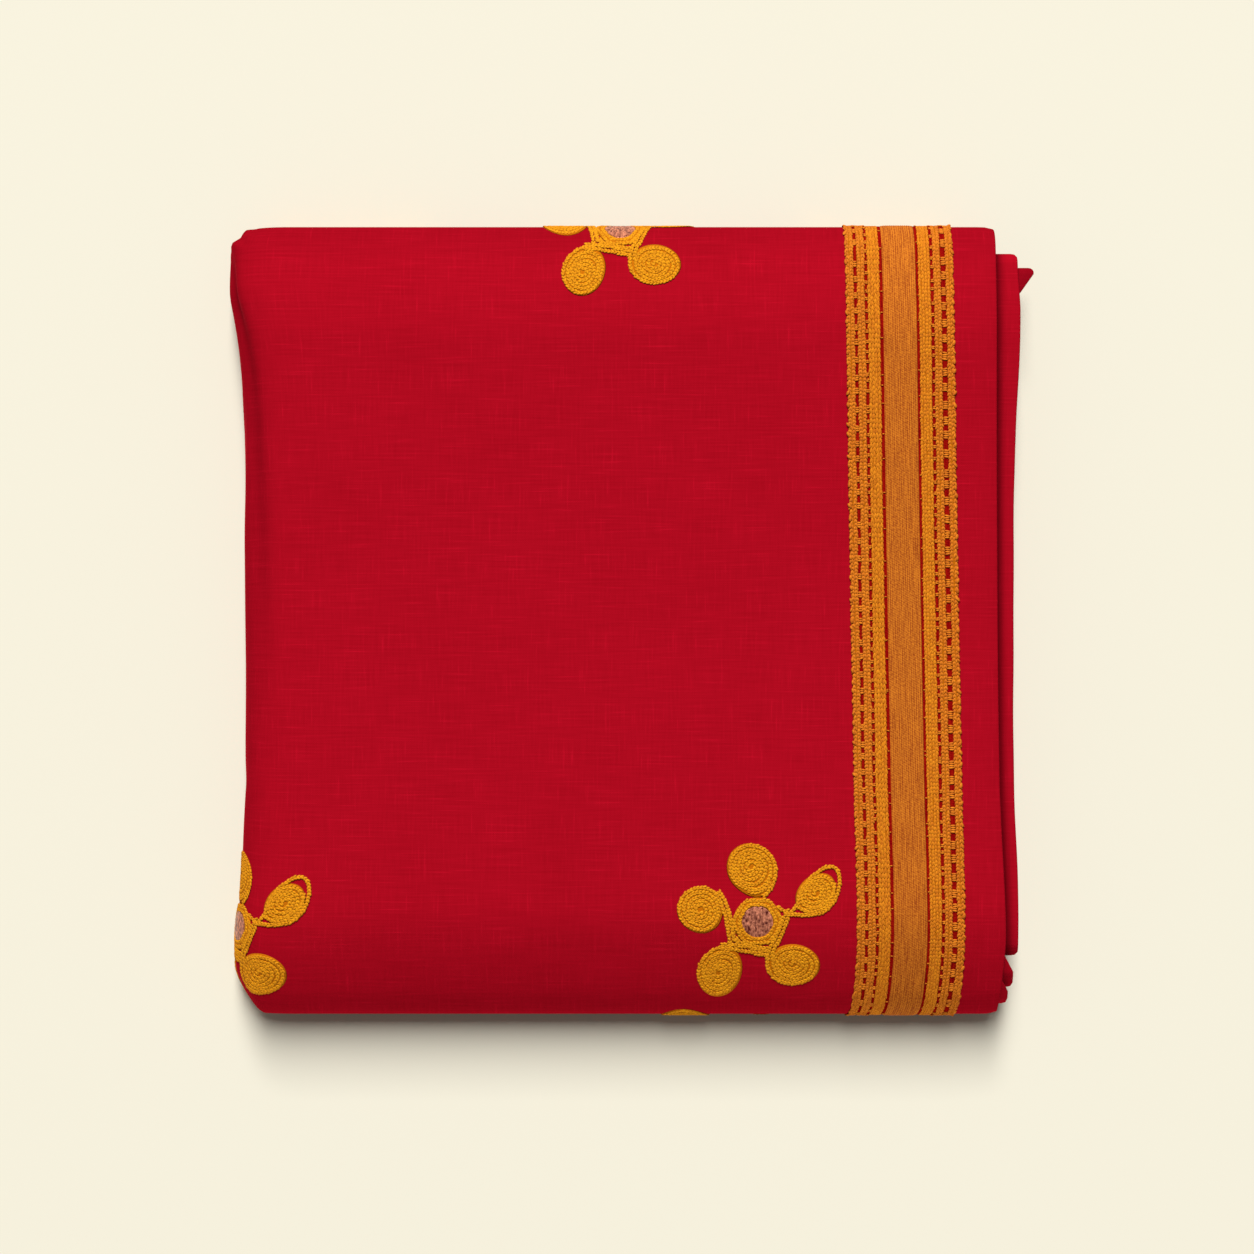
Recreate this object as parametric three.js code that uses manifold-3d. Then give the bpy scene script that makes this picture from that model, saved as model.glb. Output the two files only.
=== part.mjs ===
// A zari saree folded into a flat packet and laid down, in millimetres, with +Z up.
// The cloth is folded across into a book: the outermost stretch covers the top, turns round a soft spine
// on the left (-X) and comes back underneath. Its long edges roll in at the near (-Y) and far (+Y) ends,
// so two stacks of hidden folds lie inside it and their layers show at the open right (+X) side.
import * as THREE from "three";
import { mergeVertices } from "three/addons/utils/BufferGeometryUtils.js";
import Module from "manifold-3d";

const wasm = await Module();
wasm.setup();

// The cloth opened out, and how often it is folded each way.
const SAREE_LENGTH = 5400;
const SAREE_WIDTH = 1160;
const PANELS_ALONG = 18;
const PANELS_ACROSS = 4;
const PANEL_LENGTH = SAREE_LENGTH / PANELS_ALONG;
const PANEL_WIDTH = SAREE_WIDTH / PANELS_ACROSS;

// The folded packet.
const STACK = 21; // height of one of the two stacks
const WALL = 1.3; // wall of the outermost stretch
const SEAM = 0.3; // gap between neighbouring pieces
const LIP_GAP = 0.4; // from the rolled lip to the middle of the packet
const EDGE_R = (STACK - LIP_GAP) / 2; // outer radius of the rolled near and far edges
const WRAP_EASE = 1.7; // the outermost panel reaches this much past the others, at each end
const FLAT = PANEL_LENGTH / 2 + WRAP_EASE - EDGE_R; // from the middle to where an edge starts to roll
const LIP = 11; // cloth turned in between the two stacks
const OPEN_SIDE = 141.7; // where most folds end, on the right
const SPINE_LEFT = OPEN_SIDE - PANEL_WIDTH; // the spine's outer side at its waist
const SPINE_X = SPINE_LEFT + STACK; // where the top starts to turn round the spine
const UNDER_ACROSS = SPINE_X - Math.PI * STACK; // where the cloth, measured along itself, lies flat underneath

// How the packet settles: it thins towards its sides, its near and far ends slope down, its spine flares, and
// its spine corners are drawn in.
const CROWN = { share: 0.06, halfX: 155, halfY: 152 };
const END_SLOPE = { from: 100, to: 151, drop: 9.5, power: 1.9 };
const FLARE_FROM = -98;
const CORNERS = [
  { pull: 9.4, xFrom: -137, xTo: -150, yFrom: -96, yTo: -136 },
  { pull: -2.6, xFrom: -137, xTo: -150, yFrom: 118, yTo: 147 },
];

// How far the spine stands out past its waist, by place along it.
const SPINE_FLARE = [
  { y: 146, out: 6.8 },
  { y: 122, out: 6.6 },
  { y: 103, out: 4.1 },
  { y: 84, out: 2.3 },
  { y: 57, out: 1.0 },
  { y: 0, out: 0 },
  { y: -50, out: 0.2 },
  { y: -86, out: 1.1 },
  { y: -106, out: 2.0 },
  { y: -127, out: 4.0 },
  { y: -150, out: 4.4 },
];

// The soft trough that runs down the spine's upper shoulder: how far round the spine, and how deep.
const SHOULDER_CREASE = [
  { y: 145, turn: 76, deep: 0 },
  { y: 122, turn: 66, deep: 1.5 },
  { y: 106, turn: 52, deep: 1.7 },
  { y: 73, turn: 46, deep: 1.2 },
  { y: 29, turn: 38, deep: 0.8 },
  { y: -45, turn: 34, deep: 0 },
];
const CREASE_WIDTH = 3.4;

// The right-hand edges of the outermost stretch, above and below.
const TOP_EDGE = [
  { y: 151, x: 138.2 },
  { y: 141, x: 139.3 },
  { y: 53, x: 139.8 },
  { y: -60, x: 140.8 },
  { y: -120, x: 143.4 },
  { y: -139, x: 141.9 },
  { y: -151, x: 138.6 },
];
const UNDER_EDGE = [
  { y: 151, x: 139 },
  { y: 60, x: 142 },
  { y: -40, x: 140.5 },
  { y: -151, x: 141.5 },
];

// The folds inside each stack, outermost first: their far and near ends, and where their edges lie.
const FOLD_WALL = 1.3;
const FOLD_PITCH = 2.05;
const FOLD_EASE = 0.45; // between the wrap and the outermost fold
const FOLD_ROOT = 126; // where the separate folds grow out of the solid stack
const FOLD_BITE = 2; // how far they start inside it
const FOLD_CORNER = 3; // corner radius of an edge
const UPPER_FOLDS = [
  { far: 148.6, near: -147.6, edge: [{ y: 140, x: 136 }, { y: -130, x: 138 }, { y: -143, x: 145.2 }] },
  { far: 145, near: -141, edge: [{ y: 140, x: 138 }, { y: -120, x: 139 }, { y: -134, x: 146.4 }] },
  { far: 141.2, near: -128.4, edge: [{ y: 135, x: 148.6 }, { y: 118, x: 149.4 }, { y: 60, x: 147.2 },
    { y: 8, x: 146.6 }, { y: -60, x: 146.9 }, { y: -118, x: 148.6 }] },
  { far: 135.6, near: -124, edge: [{ y: 133, x: 154.8 }, { y: 126, x: 150 }, { y: 118, x: 143 },
    { y: -120, x: 142 }] },
  { far: 131, near: -120, edge: [{ y: 120, x: 139 }, { y: -110, x: 141 }] },
];
const SECOND_FOLD = 2; // the row above that reaches out as a stretch of its own
const LOWER_FOLDS = [
  { far: 148.4, near: -147.4, edge: [{ y: 140, x: 138 }, { y: 20, x: 140.5 }, { y: -140, x: 138.5 }] },
  { far: 144.2, near: -144.8, edge: [{ y: 140, x: 142 }, { y: -20, x: 139 }, { y: -140, x: 142.5 }] },
  { far: 143, near: -139, edge: [{ y: 130, x: 140 }, { y: 10, x: 142.8 }, { y: -130, x: 139.4 }] },
  { far: 137, near: -136, edge: [{ y: 130, x: 143.6 }, { y: -30, x: 140.6 }, { y: -130, x: 143 }] },
  { far: 133, near: -128, edge: [{ y: 120, x: 141 }, { y: -120, x: 140 }] },
];

// Where trim on the cloth has to stop: inside a rolled edge, and short of the face that the packet rests on.
const WRAP_END = FLAT + EDGE_R * THREE.MathUtils.degToRad(152);
const REST_CLEAR = FLAT + EDGE_R * THREE.MathUtils.degToRad(45);
const SPINE_CLEAR = SPINE_X - STACK * THREE.MathUtils.degToRad(148);

// The zari border: its middle line along the cloth, and its woven cords and stripes across.
const BORDER_MIDDLE = [
  { y: 168, x: 102.4 },
  { y: 140, x: 102.6 },
  { y: 53, x: 103.6 },
  { y: -60, x: 105.6 },
  { y: -122, x: 107 },
  { y: -168, x: 100.6 },
];
const BORDER_PROFILE = [
  { at: -20.8, rise: 0.3 }, { at: -19.2, rise: 0.9 }, { at: -17.2, rise: 0.4 }, { at: -14.6, rise: 0.9 },
  { at: -12.8, rise: 0.3 }, { at: -10.4, rise: 0.6 }, { at: -7.2, rise: 0.3 }, { at: 0, rise: 0.6 },
  { at: 6.8, rise: 0.3 }, { at: 9.6, rise: 0.6 }, { at: 12, rise: 0.3 }, { at: 14.2, rise: 0.9 },
  { at: 17, rise: 0.4 }, { at: 19.2, rise: 0.9 }, { at: 20.8, rise: 0.3 },
];
const BORDER_BASE = [20.8, 7, -7, -20.8];

// The flowers: coils of couched cord round a mirror. Each has the same five petals, the last a longer leaf.
const PETALS = [
  { turn: 97, reach: 20.7, long: 9.6, wide: 9.2 },
  { turn: 165, reach: 21, long: 9.4, wide: 9.2 },
  { turn: 232, reach: 22.2, long: 10.6, wide: 9.2 },
  { turn: 311, reach: 21.6, long: 9.6, wide: 9.4 },
  { turn: 27, reach: 25.4, long: 12.2, wide: 8.6 },
];
const PETAL_COIL = [
  { r: 0, rise: 1.0 }, { r: 0.2, rise: 0.65 }, { r: 0.4, rise: 1.05 }, { r: 0.6, rise: 0.65 },
  { r: 0.8, rise: 1.0 }, { r: 0.98, rise: 0.4 }, { r: 1, rise: 0 }, { r: 0, rise: 0 },
];
const RING_COIL = [
  { r: 5.9, rise: 0 }, { r: 6.1, rise: 0.6 }, { r: 7.4, rise: 1.1 }, { r: 8.9, rise: 0.6 }, { r: 9.2, rise: 0 },
  { r: 5.9, rise: 0 },
];
const ARM = { width: 3, rise: 0.8, from: 8.2, into: 3 };
const MIRROR = { r: 5.3, rise: 0.6 };
const FLOWER_LIFT = 0.5; // its backing stitches hold a flower this far off the cloth's outer side
const SMALLEST_SCRAP = 6; // cubic millimetres: less of a petal than this is left off at a rolled edge
// Their places are measured on the cloth from the middle of the top: across it, and along it.
const FLOWERS = [
  { name: "flower_top", across: 48.3, along: -113.6, size: 1, from: -WRAP_END },
  { name: "flower_far_edge", across: -3.8, along: 148.6, size: 0.88, from: -WRAP_END },
  { name: "flower_spine", across: -151.8, along: -117, size: 0.98, from: -WRAP_END },
  { name: "flower_near_edge", across: 23.4, along: -178.9, size: 1, from: -WRAP_END },
  { name: "flower_under_left", across: -212, along: 148, size: 1, from: REST_CLEAR },
  { name: "flower_under_right", across: -416, along: 148, size: 0.95, from: REST_CLEAR },
];

// How finely the surfaces are faceted.
const EDGE_STATIONS = 7; // round a rolled edge
const FLAT_STATIONS = [130, 116, 101, 84, 54, 18]; // between the rolled edges, each way from the middle
const SPINE_STATIONS = 14; // round the spine
const TOP_SHARES = [0, 0.12, 0.3, 0.48, 0.66, 0.82, 0.93, 1]; // from the open side to the spine
const UNDER_SHARES = [0.05, 0.18, 0.42, 0.7, 1]; // and back underneath
const STATION_ROOM = 4; // how near the end of a fold a station may lie
const FOLD_TURN_STEPS = 5;
const COIL_FACETS = 14;
const LONGEST_EDGE = 4.6; // short enough for a flower to bend round the packet's edges

const COLOURS = {
  red: { color: 0xad0a20, roughness: 0.7, metalness: 0 },
  inside: { color: 0x9c0a1e, roughness: 0.75, metalness: 0 },
  zari: { color: 0xd98a1c, roughness: 0.45, metalness: 0.2 },
  thread: { color: 0xe0961a, roughness: 0.6, metalness: 0 },
  mirror: { color: 0xb59a94, roughness: 0.25, metalness: 0.6 },
};

// 0 to 1 with soft ends as value goes from one number to the other.
function ease(from, to, value) {
  return THREE.MathUtils.smoothstep((value - from) / (to - from), 0, 1);
}

// A named column of a table, as a smooth curve through its rows, which run from the far end to the near one.
function read(rows, y, column) {
  const last = rows.length - 1;
  if (y >= rows[0].y) return rows[0][column];
  if (y <= rows[last].y) return rows[last][column];
  const i = rows.findIndex((row) => y > row.y) - 1;
  const slope = (k) =>
    k === 0 || k === last ? 0 : (rows[k + 1][column] - rows[k - 1][column]) / (rows[k + 1].y - rows[k - 1].y);
  const span = rows[i + 1].y - rows[i].y;
  const t = (y - rows[i].y) / span;
  const step = t * t * (3 - 2 * t);
  const bend = span * t * (1 - t) * ((1 - t) * slope(i) - t * slope(i + 1));
  return THREE.MathUtils.lerp(rows[i][column], rows[i + 1][column], step) + bend;
}

// A place along the cloth, lifted off its outer side, as a y and a depth below that side.
function rollAlong(along, lift) {
  const side = along < 0 ? -1 : 1;
  const angle = (Math.abs(along) - FLAT) / EDGE_R;
  if (angle <= 0) return { y: along, depth: -lift };
  if (angle >= Math.PI) return { y: side * (FLAT - (angle - Math.PI) * EDGE_R), depth: 2 * EDGE_R + lift };
  const r = EDGE_R + lift;
  return { y: side * (FLAT + r * Math.sin(angle)), depth: EDGE_R - r * Math.cos(angle) };
}

// A place across the cloth, from the middle of the top to the left, round the spine and back underneath.
function bookAcross(across, depth) {
  const turn = (SPINE_X - across) / STACK;
  if (turn <= 0) return { x: across, z: 2 * STACK - depth };
  if (turn >= Math.PI) return { x: SPINE_X + (turn - Math.PI) * STACK, z: depth };
  const r = STACK - depth;
  return { x: SPINE_X - r * Math.sin(turn), z: STACK + r * Math.cos(turn) };
}

function shoulderCrease(across, y) {
  const middle = SPINE_X - STACK * THREE.MathUtils.degToRad(read(SHOULDER_CREASE, y, "turn"));
  return read(SHOULDER_CREASE, y, "deep") * Math.exp(-(((across - middle) / CREASE_WIDTH) ** 2));
}

function settle(x, y, z) {
  const sides = (1 - (x / CROWN.halfX) ** 4) * (1 - (y / CROWN.halfY) ** 4);
  const flare = read(SPINE_FLARE, y, "out") * ease(FLARE_FROM, SPINE_LEFT, x);
  let pull = 0;
  for (const c of CORNERS) pull += c.pull * ease(c.xFrom, c.xTo, x) * ease(c.yFrom, c.yTo, y);
  const end = THREE.MathUtils.clamp((Math.abs(y) - END_SLOPE.from) / (END_SLOPE.to - END_SLOPE.from), 0, 1);
  const thinned = CROWN.share * (1 - sides) + (END_SLOPE.drop / (2 * STACK)) * end ** END_SLOPE.power;
  return [x - flare, y + pull, z * (1 - thinned)];
}

// A point of the packet from a place across the cloth, a y, and a depth below the cloth's outer side.
function place(across, y, depth) {
  const crease = shoulderCrease(across, y) * THREE.MathUtils.clamp(1 - depth / STACK, 0, 1);
  const { x, z } = bookAcross(across, depth + crease);
  return settle(x, y, z);
}

function onCloth(across, along, lift) {
  const { y, depth } = rollAlong(along, lift);
  return place(across, y, depth);
}

function underneath(x) {
  return UNDER_ACROSS - (x - SPINE_X);
}

// A geometry from points and triangles, turned so that its faces point outwards.
function closed(points, triangles) {
  let volume = 0;
  const [a, b, c] = [new THREE.Vector3(), new THREE.Vector3(), new THREE.Vector3()];
  for (const [i, j, k] of triangles)
    volume += a.fromArray(points[i]).dot(b.fromArray(points[j]).cross(c.fromArray(points[k])));
  const geometry = new THREE.BufferGeometry();
  geometry.setAttribute("position", new THREE.Float32BufferAttribute(points.flat(), 3));
  geometry.setIndex((volume < 0 ? triangles.map(([i, j, k]) => [i, k, j]) : triangles).flat());
  return geometry;
}

// The triangles that join rings of equal length, one after the other.
function sides(rings, count, joined) {
  const triangles = [];
  const last = joined ? rings : rings - 1;
  for (let i = 0; i < last; i++)
    for (let j = 0; j < count; j++) {
      const next = ((i + 1) % rings) * count;
      const [p, q] = [i * count + j, i * count + ((j + 1) % count)];
      triangles.push([p, q, next + ((j + 1) % count)], [p, next + ((j + 1) % count), next + j]);
    }
  return triangles;
}

// The triangles that close a ring, worked out from its outline and turned the way that the ring runs.
function cap(outline) {
  const contour = outline.map(([u, v]) => new THREE.Vector2(u, v));
  const ringTurns = Math.sign(THREE.ShapeUtils.area(contour));
  return THREE.ShapeUtils.triangulateShape(contour, []).map(([i, j, k]) => {
    const turns = Math.sign(THREE.ShapeUtils.area([contour[i], contour[j], contour[k]]));
    return turns === ringTurns ? [i, j, k] : [i, k, j];
  });
}

function endOn(ring) {
  return ring.map(([, y, z]) => [y, z]);
}

// A solid through rings of equal length, closed at its ends over their outlines.
function loft(rings, first = endOn(rings[0]), last = endOn(rings.at(-1))) {
  const count = rings[0].length;
  const end = (rings.length - 1) * count;
  return closed(rings.flat(), [
    ...sides(rings.length, count, false),
    ...cap(first).map(([i, j, k]) => [i, k, j]),
    ...cap(last).map(([i, j, k]) => [i + end, j + end, k + end]),
  ]);
}

function spread(from, to, steps) {
  return Array.from({ length: steps + 1 }, (_, i) => THREE.MathUtils.lerp(from, to, i / steps));
}

// The places along the cloth where a rolled panel needs a point.
function alongStations(endLip) {
  const half = [];
  if (endLip > 0) half.push(FLAT + Math.PI * EDGE_R + endLip);
  half.push(...spread(FLAT + Math.PI * EDGE_R, FLAT, EDGE_STATIONS), ...FLAT_STATIONS);
  return [...half, ...half.toReversed().map((v) => -v)];
}

// Rings across the packet, from the right-hand side over the top, round the spine and back underneath.
function ringsAcross(outline, topEdge, underEdge) {
  const point = (across, [y, depth]) => place(across, y, depth);
  return [
    ...TOP_SHARES.map((s) => outline.map((p) => point(THREE.MathUtils.lerp(topEdge(p[0]), SPINE_X, s), p))),
    ...spread(SPINE_X, UNDER_ACROSS, SPINE_STATIONS).slice(1).map((a) => outline.map((p) => point(a, p))),
    ...UNDER_SHARES.map((s) =>
      outline.map((p) => point(underneath(THREE.MathUtils.lerp(SPINE_X, underEdge(p[0]), s)), p))),
  ];
}

// The outermost stretch of cloth: the top, the spine and the underside in one.
function outerWrap() {
  const stations = alongStations(LIP);
  const outside = stations.map((along) => rollAlong(along, 0));
  const inside = stations.toReversed().map((along) => rollAlong(along, -WALL));
  const outline = [...outside, ...inside].map(({ y, depth }) => [y, depth]);
  return loft(ringsAcross(outline, (y) => read(TOP_EDGE, y, "x"), (y) => read(UNDER_EDGE, y, "x")));
}

// The packed folds that can't be seen, as one solid that bends round inside the spine.
function packedStacks() {
  const outside = alongStations(0).map((along) => rollAlong(along, -(WALL + SEAM)));
  const besideLip = 2 * EDGE_R - WALL - SEAM;
  const lipEnd = FLAT - LIP - 1;
  const middleEnd = lipEnd - 1.3;
  const outline = [
    ...outside.map(({ y, depth }) => [y, depth]),
    [-lipEnd, besideLip],
    ...spread(-middleEnd, middleEnd, 3).map((y) => [y, STACK - SEAM]),
    [lipEnd, besideLip],
  ].toReversed();
  return loft(ringsAcross(outline, () => FOLD_ROOT, () => FOLD_ROOT));
}

// One fold at the open side: a flattened loop of cloth that stands out of the stack.
function foldLoop(row, index, acrossAt, root) {
  const outset = WALL + FOLD_EASE + FOLD_PITCH * index;
  const outer = EDGE_R - outset;
  const inner = Math.max(outer - FOLD_WALL, 0);
  const solid = inner < FOLD_WALL / 2;
  const [far, near] = [row.far - outer, row.near + outer];
  const quarter = Math.PI / 2;
  const turns = spread(-quarter, quarter, FOLD_TURN_STEPS).slice(1, -1);
  const between = [...FLAT_STATIONS.map((v) => -v), ...FLAT_STATIONS.toReversed()]
    .filter((y) => y > near + STATION_ROOM && y < far - STATION_ROOM);
  const flats = [near, ...between, far];
  const route = [
    ...flats.map((y) => ({ y, angle: -quarter })),
    ...turns.map((angle) => ({ y: far, angle })),
    ...flats.toReversed().map((y) => ({ y, angle: quarter })),
    ...turns.map((angle) => ({ y: near, angle: angle + Math.PI })),
  ];
  const edgeAt = (y) => {
    const past = Math.max(y - (row.far - FOLD_CORNER), row.near + FOLD_CORNER - y, 0) / FOLD_CORNER;
    return read(row.edge, y, "x") - FOLD_CORNER * (1 - Math.sqrt(Math.max(1 - past * past, 0)));
  };
  const at = ({ y, angle }, r, x) => {
    const py = y + r * Math.cos(angle);
    return place(acrossAt(x ?? edgeAt(py)), py, EDGE_R + r * Math.sin(angle));
  };
  if (solid) {
    return loft([route.map((p) => at(p, outer, root)), route.map((p) => at(p, outer))]);
  }
  const sections = route.map((p) => [at(p, outer, root), at(p, outer), at(p, inner), at(p, inner, root)]);
  return closed(sections.flat(), sides(sections.length, 4, true));
}

function solidOf(geometry) {
  const bare = geometry.clone();
  bare.deleteAttribute("normal");
  bare.deleteAttribute("uv");
  const merged = mergeVertices(bare, 1e-4);
  return new wasm.Manifold(new wasm.Mesh({
    numProp: 3,
    vertProperties: merged.attributes.position.array,
    triVerts: new Uint32Array(merged.index.array),
  }));
}

// The solid's triangles again as a geometry, each point moved by a function.
function geometryOf(solid, move = (p) => p) {
  const mesh = solid.getMesh();
  const points = Array.from({ length: mesh.numVert }, (_, i) =>
    move([...mesh.vertProperties.slice(i * mesh.numProp, i * mesh.numProp + 3)]));
  const triangles = Array.from({ length: mesh.numTri }, (_, i) => [...mesh.triVerts.slice(3 * i, 3 * i + 3)]);
  return closed(points, triangles);
}

// The stacks with every fold grown out of them, but for the one that is a stretch of its own.
function hiddenLayers() {
  const root = FOLD_ROOT - FOLD_BITE;
  let solid = solidOf(packedStacks());
  UPPER_FOLDS.forEach((row, index) => {
    if (index !== SECOND_FOLD) solid = solid.add(solidOf(foldLoop(row, index, (x) => x, root)));
  });
  LOWER_FOLDS.forEach((row, index) => {
    solid = solid.add(solidOf(foldLoop(row, index, underneath, root)));
  });
  return geometryOf(solid);
}

function secondFold() {
  return foldLoop(UPPER_FOLDS[SECOND_FOLD], SECOND_FOLD, (x) => x, FOLD_ROOT + SEAM);
}

// The woven border, a ribbed band that follows the top and both rolled edges.
function zariBorder() {
  const half = [...spread(WRAP_END, FLAT, EDGE_STATIONS - 1), ...FLAT_STATIONS];
  const stations = [...half, ...half.toReversed().map((v) => -v)];
  const outline = [
    ...BORDER_PROFILE.map(({ at, rise }) => [at, SEAM + rise]),
    ...BORDER_BASE.map((at) => [at, SEAM]),
  ];
  const rings = stations.map((along) =>
    outline.map(([at, lift]) => onCloth(read(BORDER_MIDDLE, along, "x") + at, along, lift)));
  return loft(rings, outline, outline);
}

// A coil turned from its section, which may run either way round.
function coilSolid(rows) {
  const section = rows.map(({ r, rise }) => new THREE.Vector2(r, rise));
  const turned = (points) => solidOf(new THREE.LatheGeometry(points, COIL_FACETS).rotateX(Math.PI / 2));
  const solid = turned(section);
  return solid.volume() > 0 ? solid : turned(section.toReversed());
}

// One flower laid flat, before it is put on the cloth.
function flatFlower(size) {
  let flower = coilSolid(RING_COIL);
  const coil = coilSolid(PETAL_COIL);
  for (const { turn, reach, long, wide } of PETALS) {
    const length = reach - long + ARM.into - ARM.from;
    const arm = solidOf(new THREE.BoxGeometry(length, ARM.width, ARM.rise)
      .translate(ARM.from + length / 2, 0, ARM.rise / 2));
    flower = flower.add(coil.scale([long, wide, 1]).translate([reach, 0, 0]).add(arm).rotate([0, 0, turn]));
  }
  return flower.scale([size, size, 1]);
}

// What is left of a flower inside the part of the cloth where it shows.
const FLOWER_ROOM = 60; // further than a flower reaches
function kept(flower, { across, along, from }) {
  const left = across > UNDER_ACROSS ? Math.max(SPINE_CLEAR - across, -FLOWER_ROOM) : -FLOWER_ROOM;
  const [near, far] = [Math.max(from - along, -FLOWER_ROOM), Math.min(WRAP_END - along, FLOWER_ROOM)];
  const box = new THREE.BoxGeometry(FLOWER_ROOM - left, far - near, FLOWER_ROOM)
    .translate((left + FLOWER_ROOM) / 2, (near + far) / 2, 0);
  return flower.intersect(solidOf(box));
}

const saree = new THREE.Group();

function add(name, geometry, finish) {
  const mesh = new THREE.Mesh(geometry, new THREE.MeshStandardMaterial({ ...finish, name }));
  mesh.name = name;
  saree.add(mesh);
}

add("outer_wrap", outerWrap(), COLOURS.red);
add("hidden_layers", hiddenLayers(), COLOURS.inside);
add("second_fold", secondFold(), COLOURS.red);
add("zari_border", zariBorder(), COLOURS.zari);

for (const flower of FLOWERS) {
  const onto = ([u, v, w]) => onCloth(flower.across + u, flower.along + v, FLOWER_LIFT + w);
  const pieces = kept(flatFlower(flower.size), flower).refineToLength(LONGEST_EDGE).decompose()
    .filter((piece) => piece.volume() > SMALLEST_SCRAP);
  pieces.forEach((piece, i) => {
    const name = pieces.length > 1 ? `${flower.name}_${i + 1}` : flower.name;
    add(name, geometryOf(piece, onto), COLOURS.thread);
  });
  const mirrorR = MIRROR.r * flower.size;
  const disc = new THREE.CylinderGeometry(mirrorR, mirrorR, MIRROR.rise, COIL_FACETS)
    .rotateX(Math.PI / 2).translate(0, 0, MIRROR.rise / 2);
  if (flower.from < flower.along - mirrorR)
    add(`${flower.name}_mirror`, geometryOf(solidOf(disc), onto), COLOURS.mirror);
}

export default saree;
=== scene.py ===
from math import cos, pi, radians, sin

import bmesh
import bpy
import numpy as np
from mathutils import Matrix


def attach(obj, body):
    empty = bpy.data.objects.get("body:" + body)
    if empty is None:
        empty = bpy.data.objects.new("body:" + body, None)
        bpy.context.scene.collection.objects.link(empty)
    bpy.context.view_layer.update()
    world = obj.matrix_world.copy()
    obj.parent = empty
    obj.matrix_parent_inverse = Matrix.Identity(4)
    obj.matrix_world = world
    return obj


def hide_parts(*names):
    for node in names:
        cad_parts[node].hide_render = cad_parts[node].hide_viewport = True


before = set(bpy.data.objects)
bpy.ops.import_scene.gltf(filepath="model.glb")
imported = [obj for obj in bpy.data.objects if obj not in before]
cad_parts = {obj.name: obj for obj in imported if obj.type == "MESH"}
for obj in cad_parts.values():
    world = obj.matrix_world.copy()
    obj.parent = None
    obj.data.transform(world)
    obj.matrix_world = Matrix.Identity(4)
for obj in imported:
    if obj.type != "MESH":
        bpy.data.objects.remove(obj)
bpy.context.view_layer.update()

# The outermost stretch of the saree: one length of red slubbed cloth that covers the top, turns round a soft
# spine on the left and comes back underneath. Its near and far edges roll in between the two stacks of folds,
# and its open edges are turned under. Sizes are in millimetres, and mesh_piece brings them to metres.
MM = 0.001
PANEL_LENGTH = 300  # the saree's 5400 folded in 18
PANEL_WIDTH = 290  # its 1160 folded in 4
STACK = 21.0  # height of one of the two stacks
WALL = 1.3  # room that the outermost stretch takes
CLOTH = 0.5  # the cloth itself
LIP_GAP = 0.4  # between the two stacks
EDGE_R = (STACK - LIP_GAP) / 2  # outer radius of the rolled near and far edges
WRAP_EASE = 1.7  # how much further the outermost stretch reaches than the folds inside
FLAT = PANEL_LENGTH / 2 + WRAP_EASE - EDGE_R  # from the middle to where an edge starts to roll
ROLLED = FLAT + pi * EDGE_R  # and to where it has turned right over
LIP = 11  # cloth turned in between the two stacks
RIGHT_EDGE = 141.7
SPINE_LEFT = RIGHT_EDGE - PANEL_WIDTH
SPINE_X = SPINE_LEFT + STACK  # where the top starts to turn round the spine
UNDER_ACROSS = SPINE_X - pi * STACK  # where the cloth, measured along itself, lies flat underneath
HEM_R = 0.62  # outer radius of a turned open edge
HEM_DEEP = 9  # how far the turned edge reaches back
EDGE_SAG, SAG_FROM = 0.8, 4.5  # how far an open edge droops, and how far back that starts

# Tables of (y, ...), read as smooth curves along the packet: how far the spine stands out past its waist, the
# trough along its upper shoulder, as an angle round the spine and a depth, and the x of the open edges.
SPINE_FLARE = [(146, 6.2), (127, 6.6), (117, 4.8), (108, 3.2), (101, 2.3), (90, 1.4), (57, 0.6), (0, 0),
               (-50, 0.2), (-86, 1.1), (-106, 2.0), (-127, 4.0), (-150, 4.4)]
SHOULDER_TROUGH = [(145, 74, 0), (134, 72, 2.0), (120, 66, 2.3), (106, 57, 1.5), (73, 48, 1.4), (29, 41, 0.9),
                   (-45, 36, 0)]
TOP_EDGE = [(151, 140.0), (141, 139.9), (53, 139.8), (-60, 140.8), (-120, 143.4), (-139, 142.4),
            (-151, 141.6)]
UNDER_EDGE = [(151, 139), (60, 142), (-40, 140.5), (-151, 141.5)]
TROUGH_WIDTH, TROUGH_PAINTED_SHADE = 4.4, 0.15  # how much painted shade darkens the trough for each millimetre of its depth
FAR_RIM, FAR_RIM_PAINTED_SHADE = (FLAT - 5, FLAT + 8), 0.2  # where painted shade darkens the far rolled edge, and how much
CROWN_SHARE, CROWN_HALF_X, CROWN_HALF_Y = 0.06, 155, 152  # how much thinner its sides are, and where they lie
# The far and near ends slope down: from which y, to which, how far, and how late.
END_SLOPES = [(108, 151, 7.4, 1.6), (-108, -151, 13.2, 1.9)]
FLARE_FROM = -98  # the x from which the top gives way to the flare
DRAWN_IN = (9.4, -137, -150, -96, -136)  # the spine's near corner: how far, between which x and which y
CUT_OFF = 0.8  # the spine's far corner is flattened to a slanting side

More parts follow.
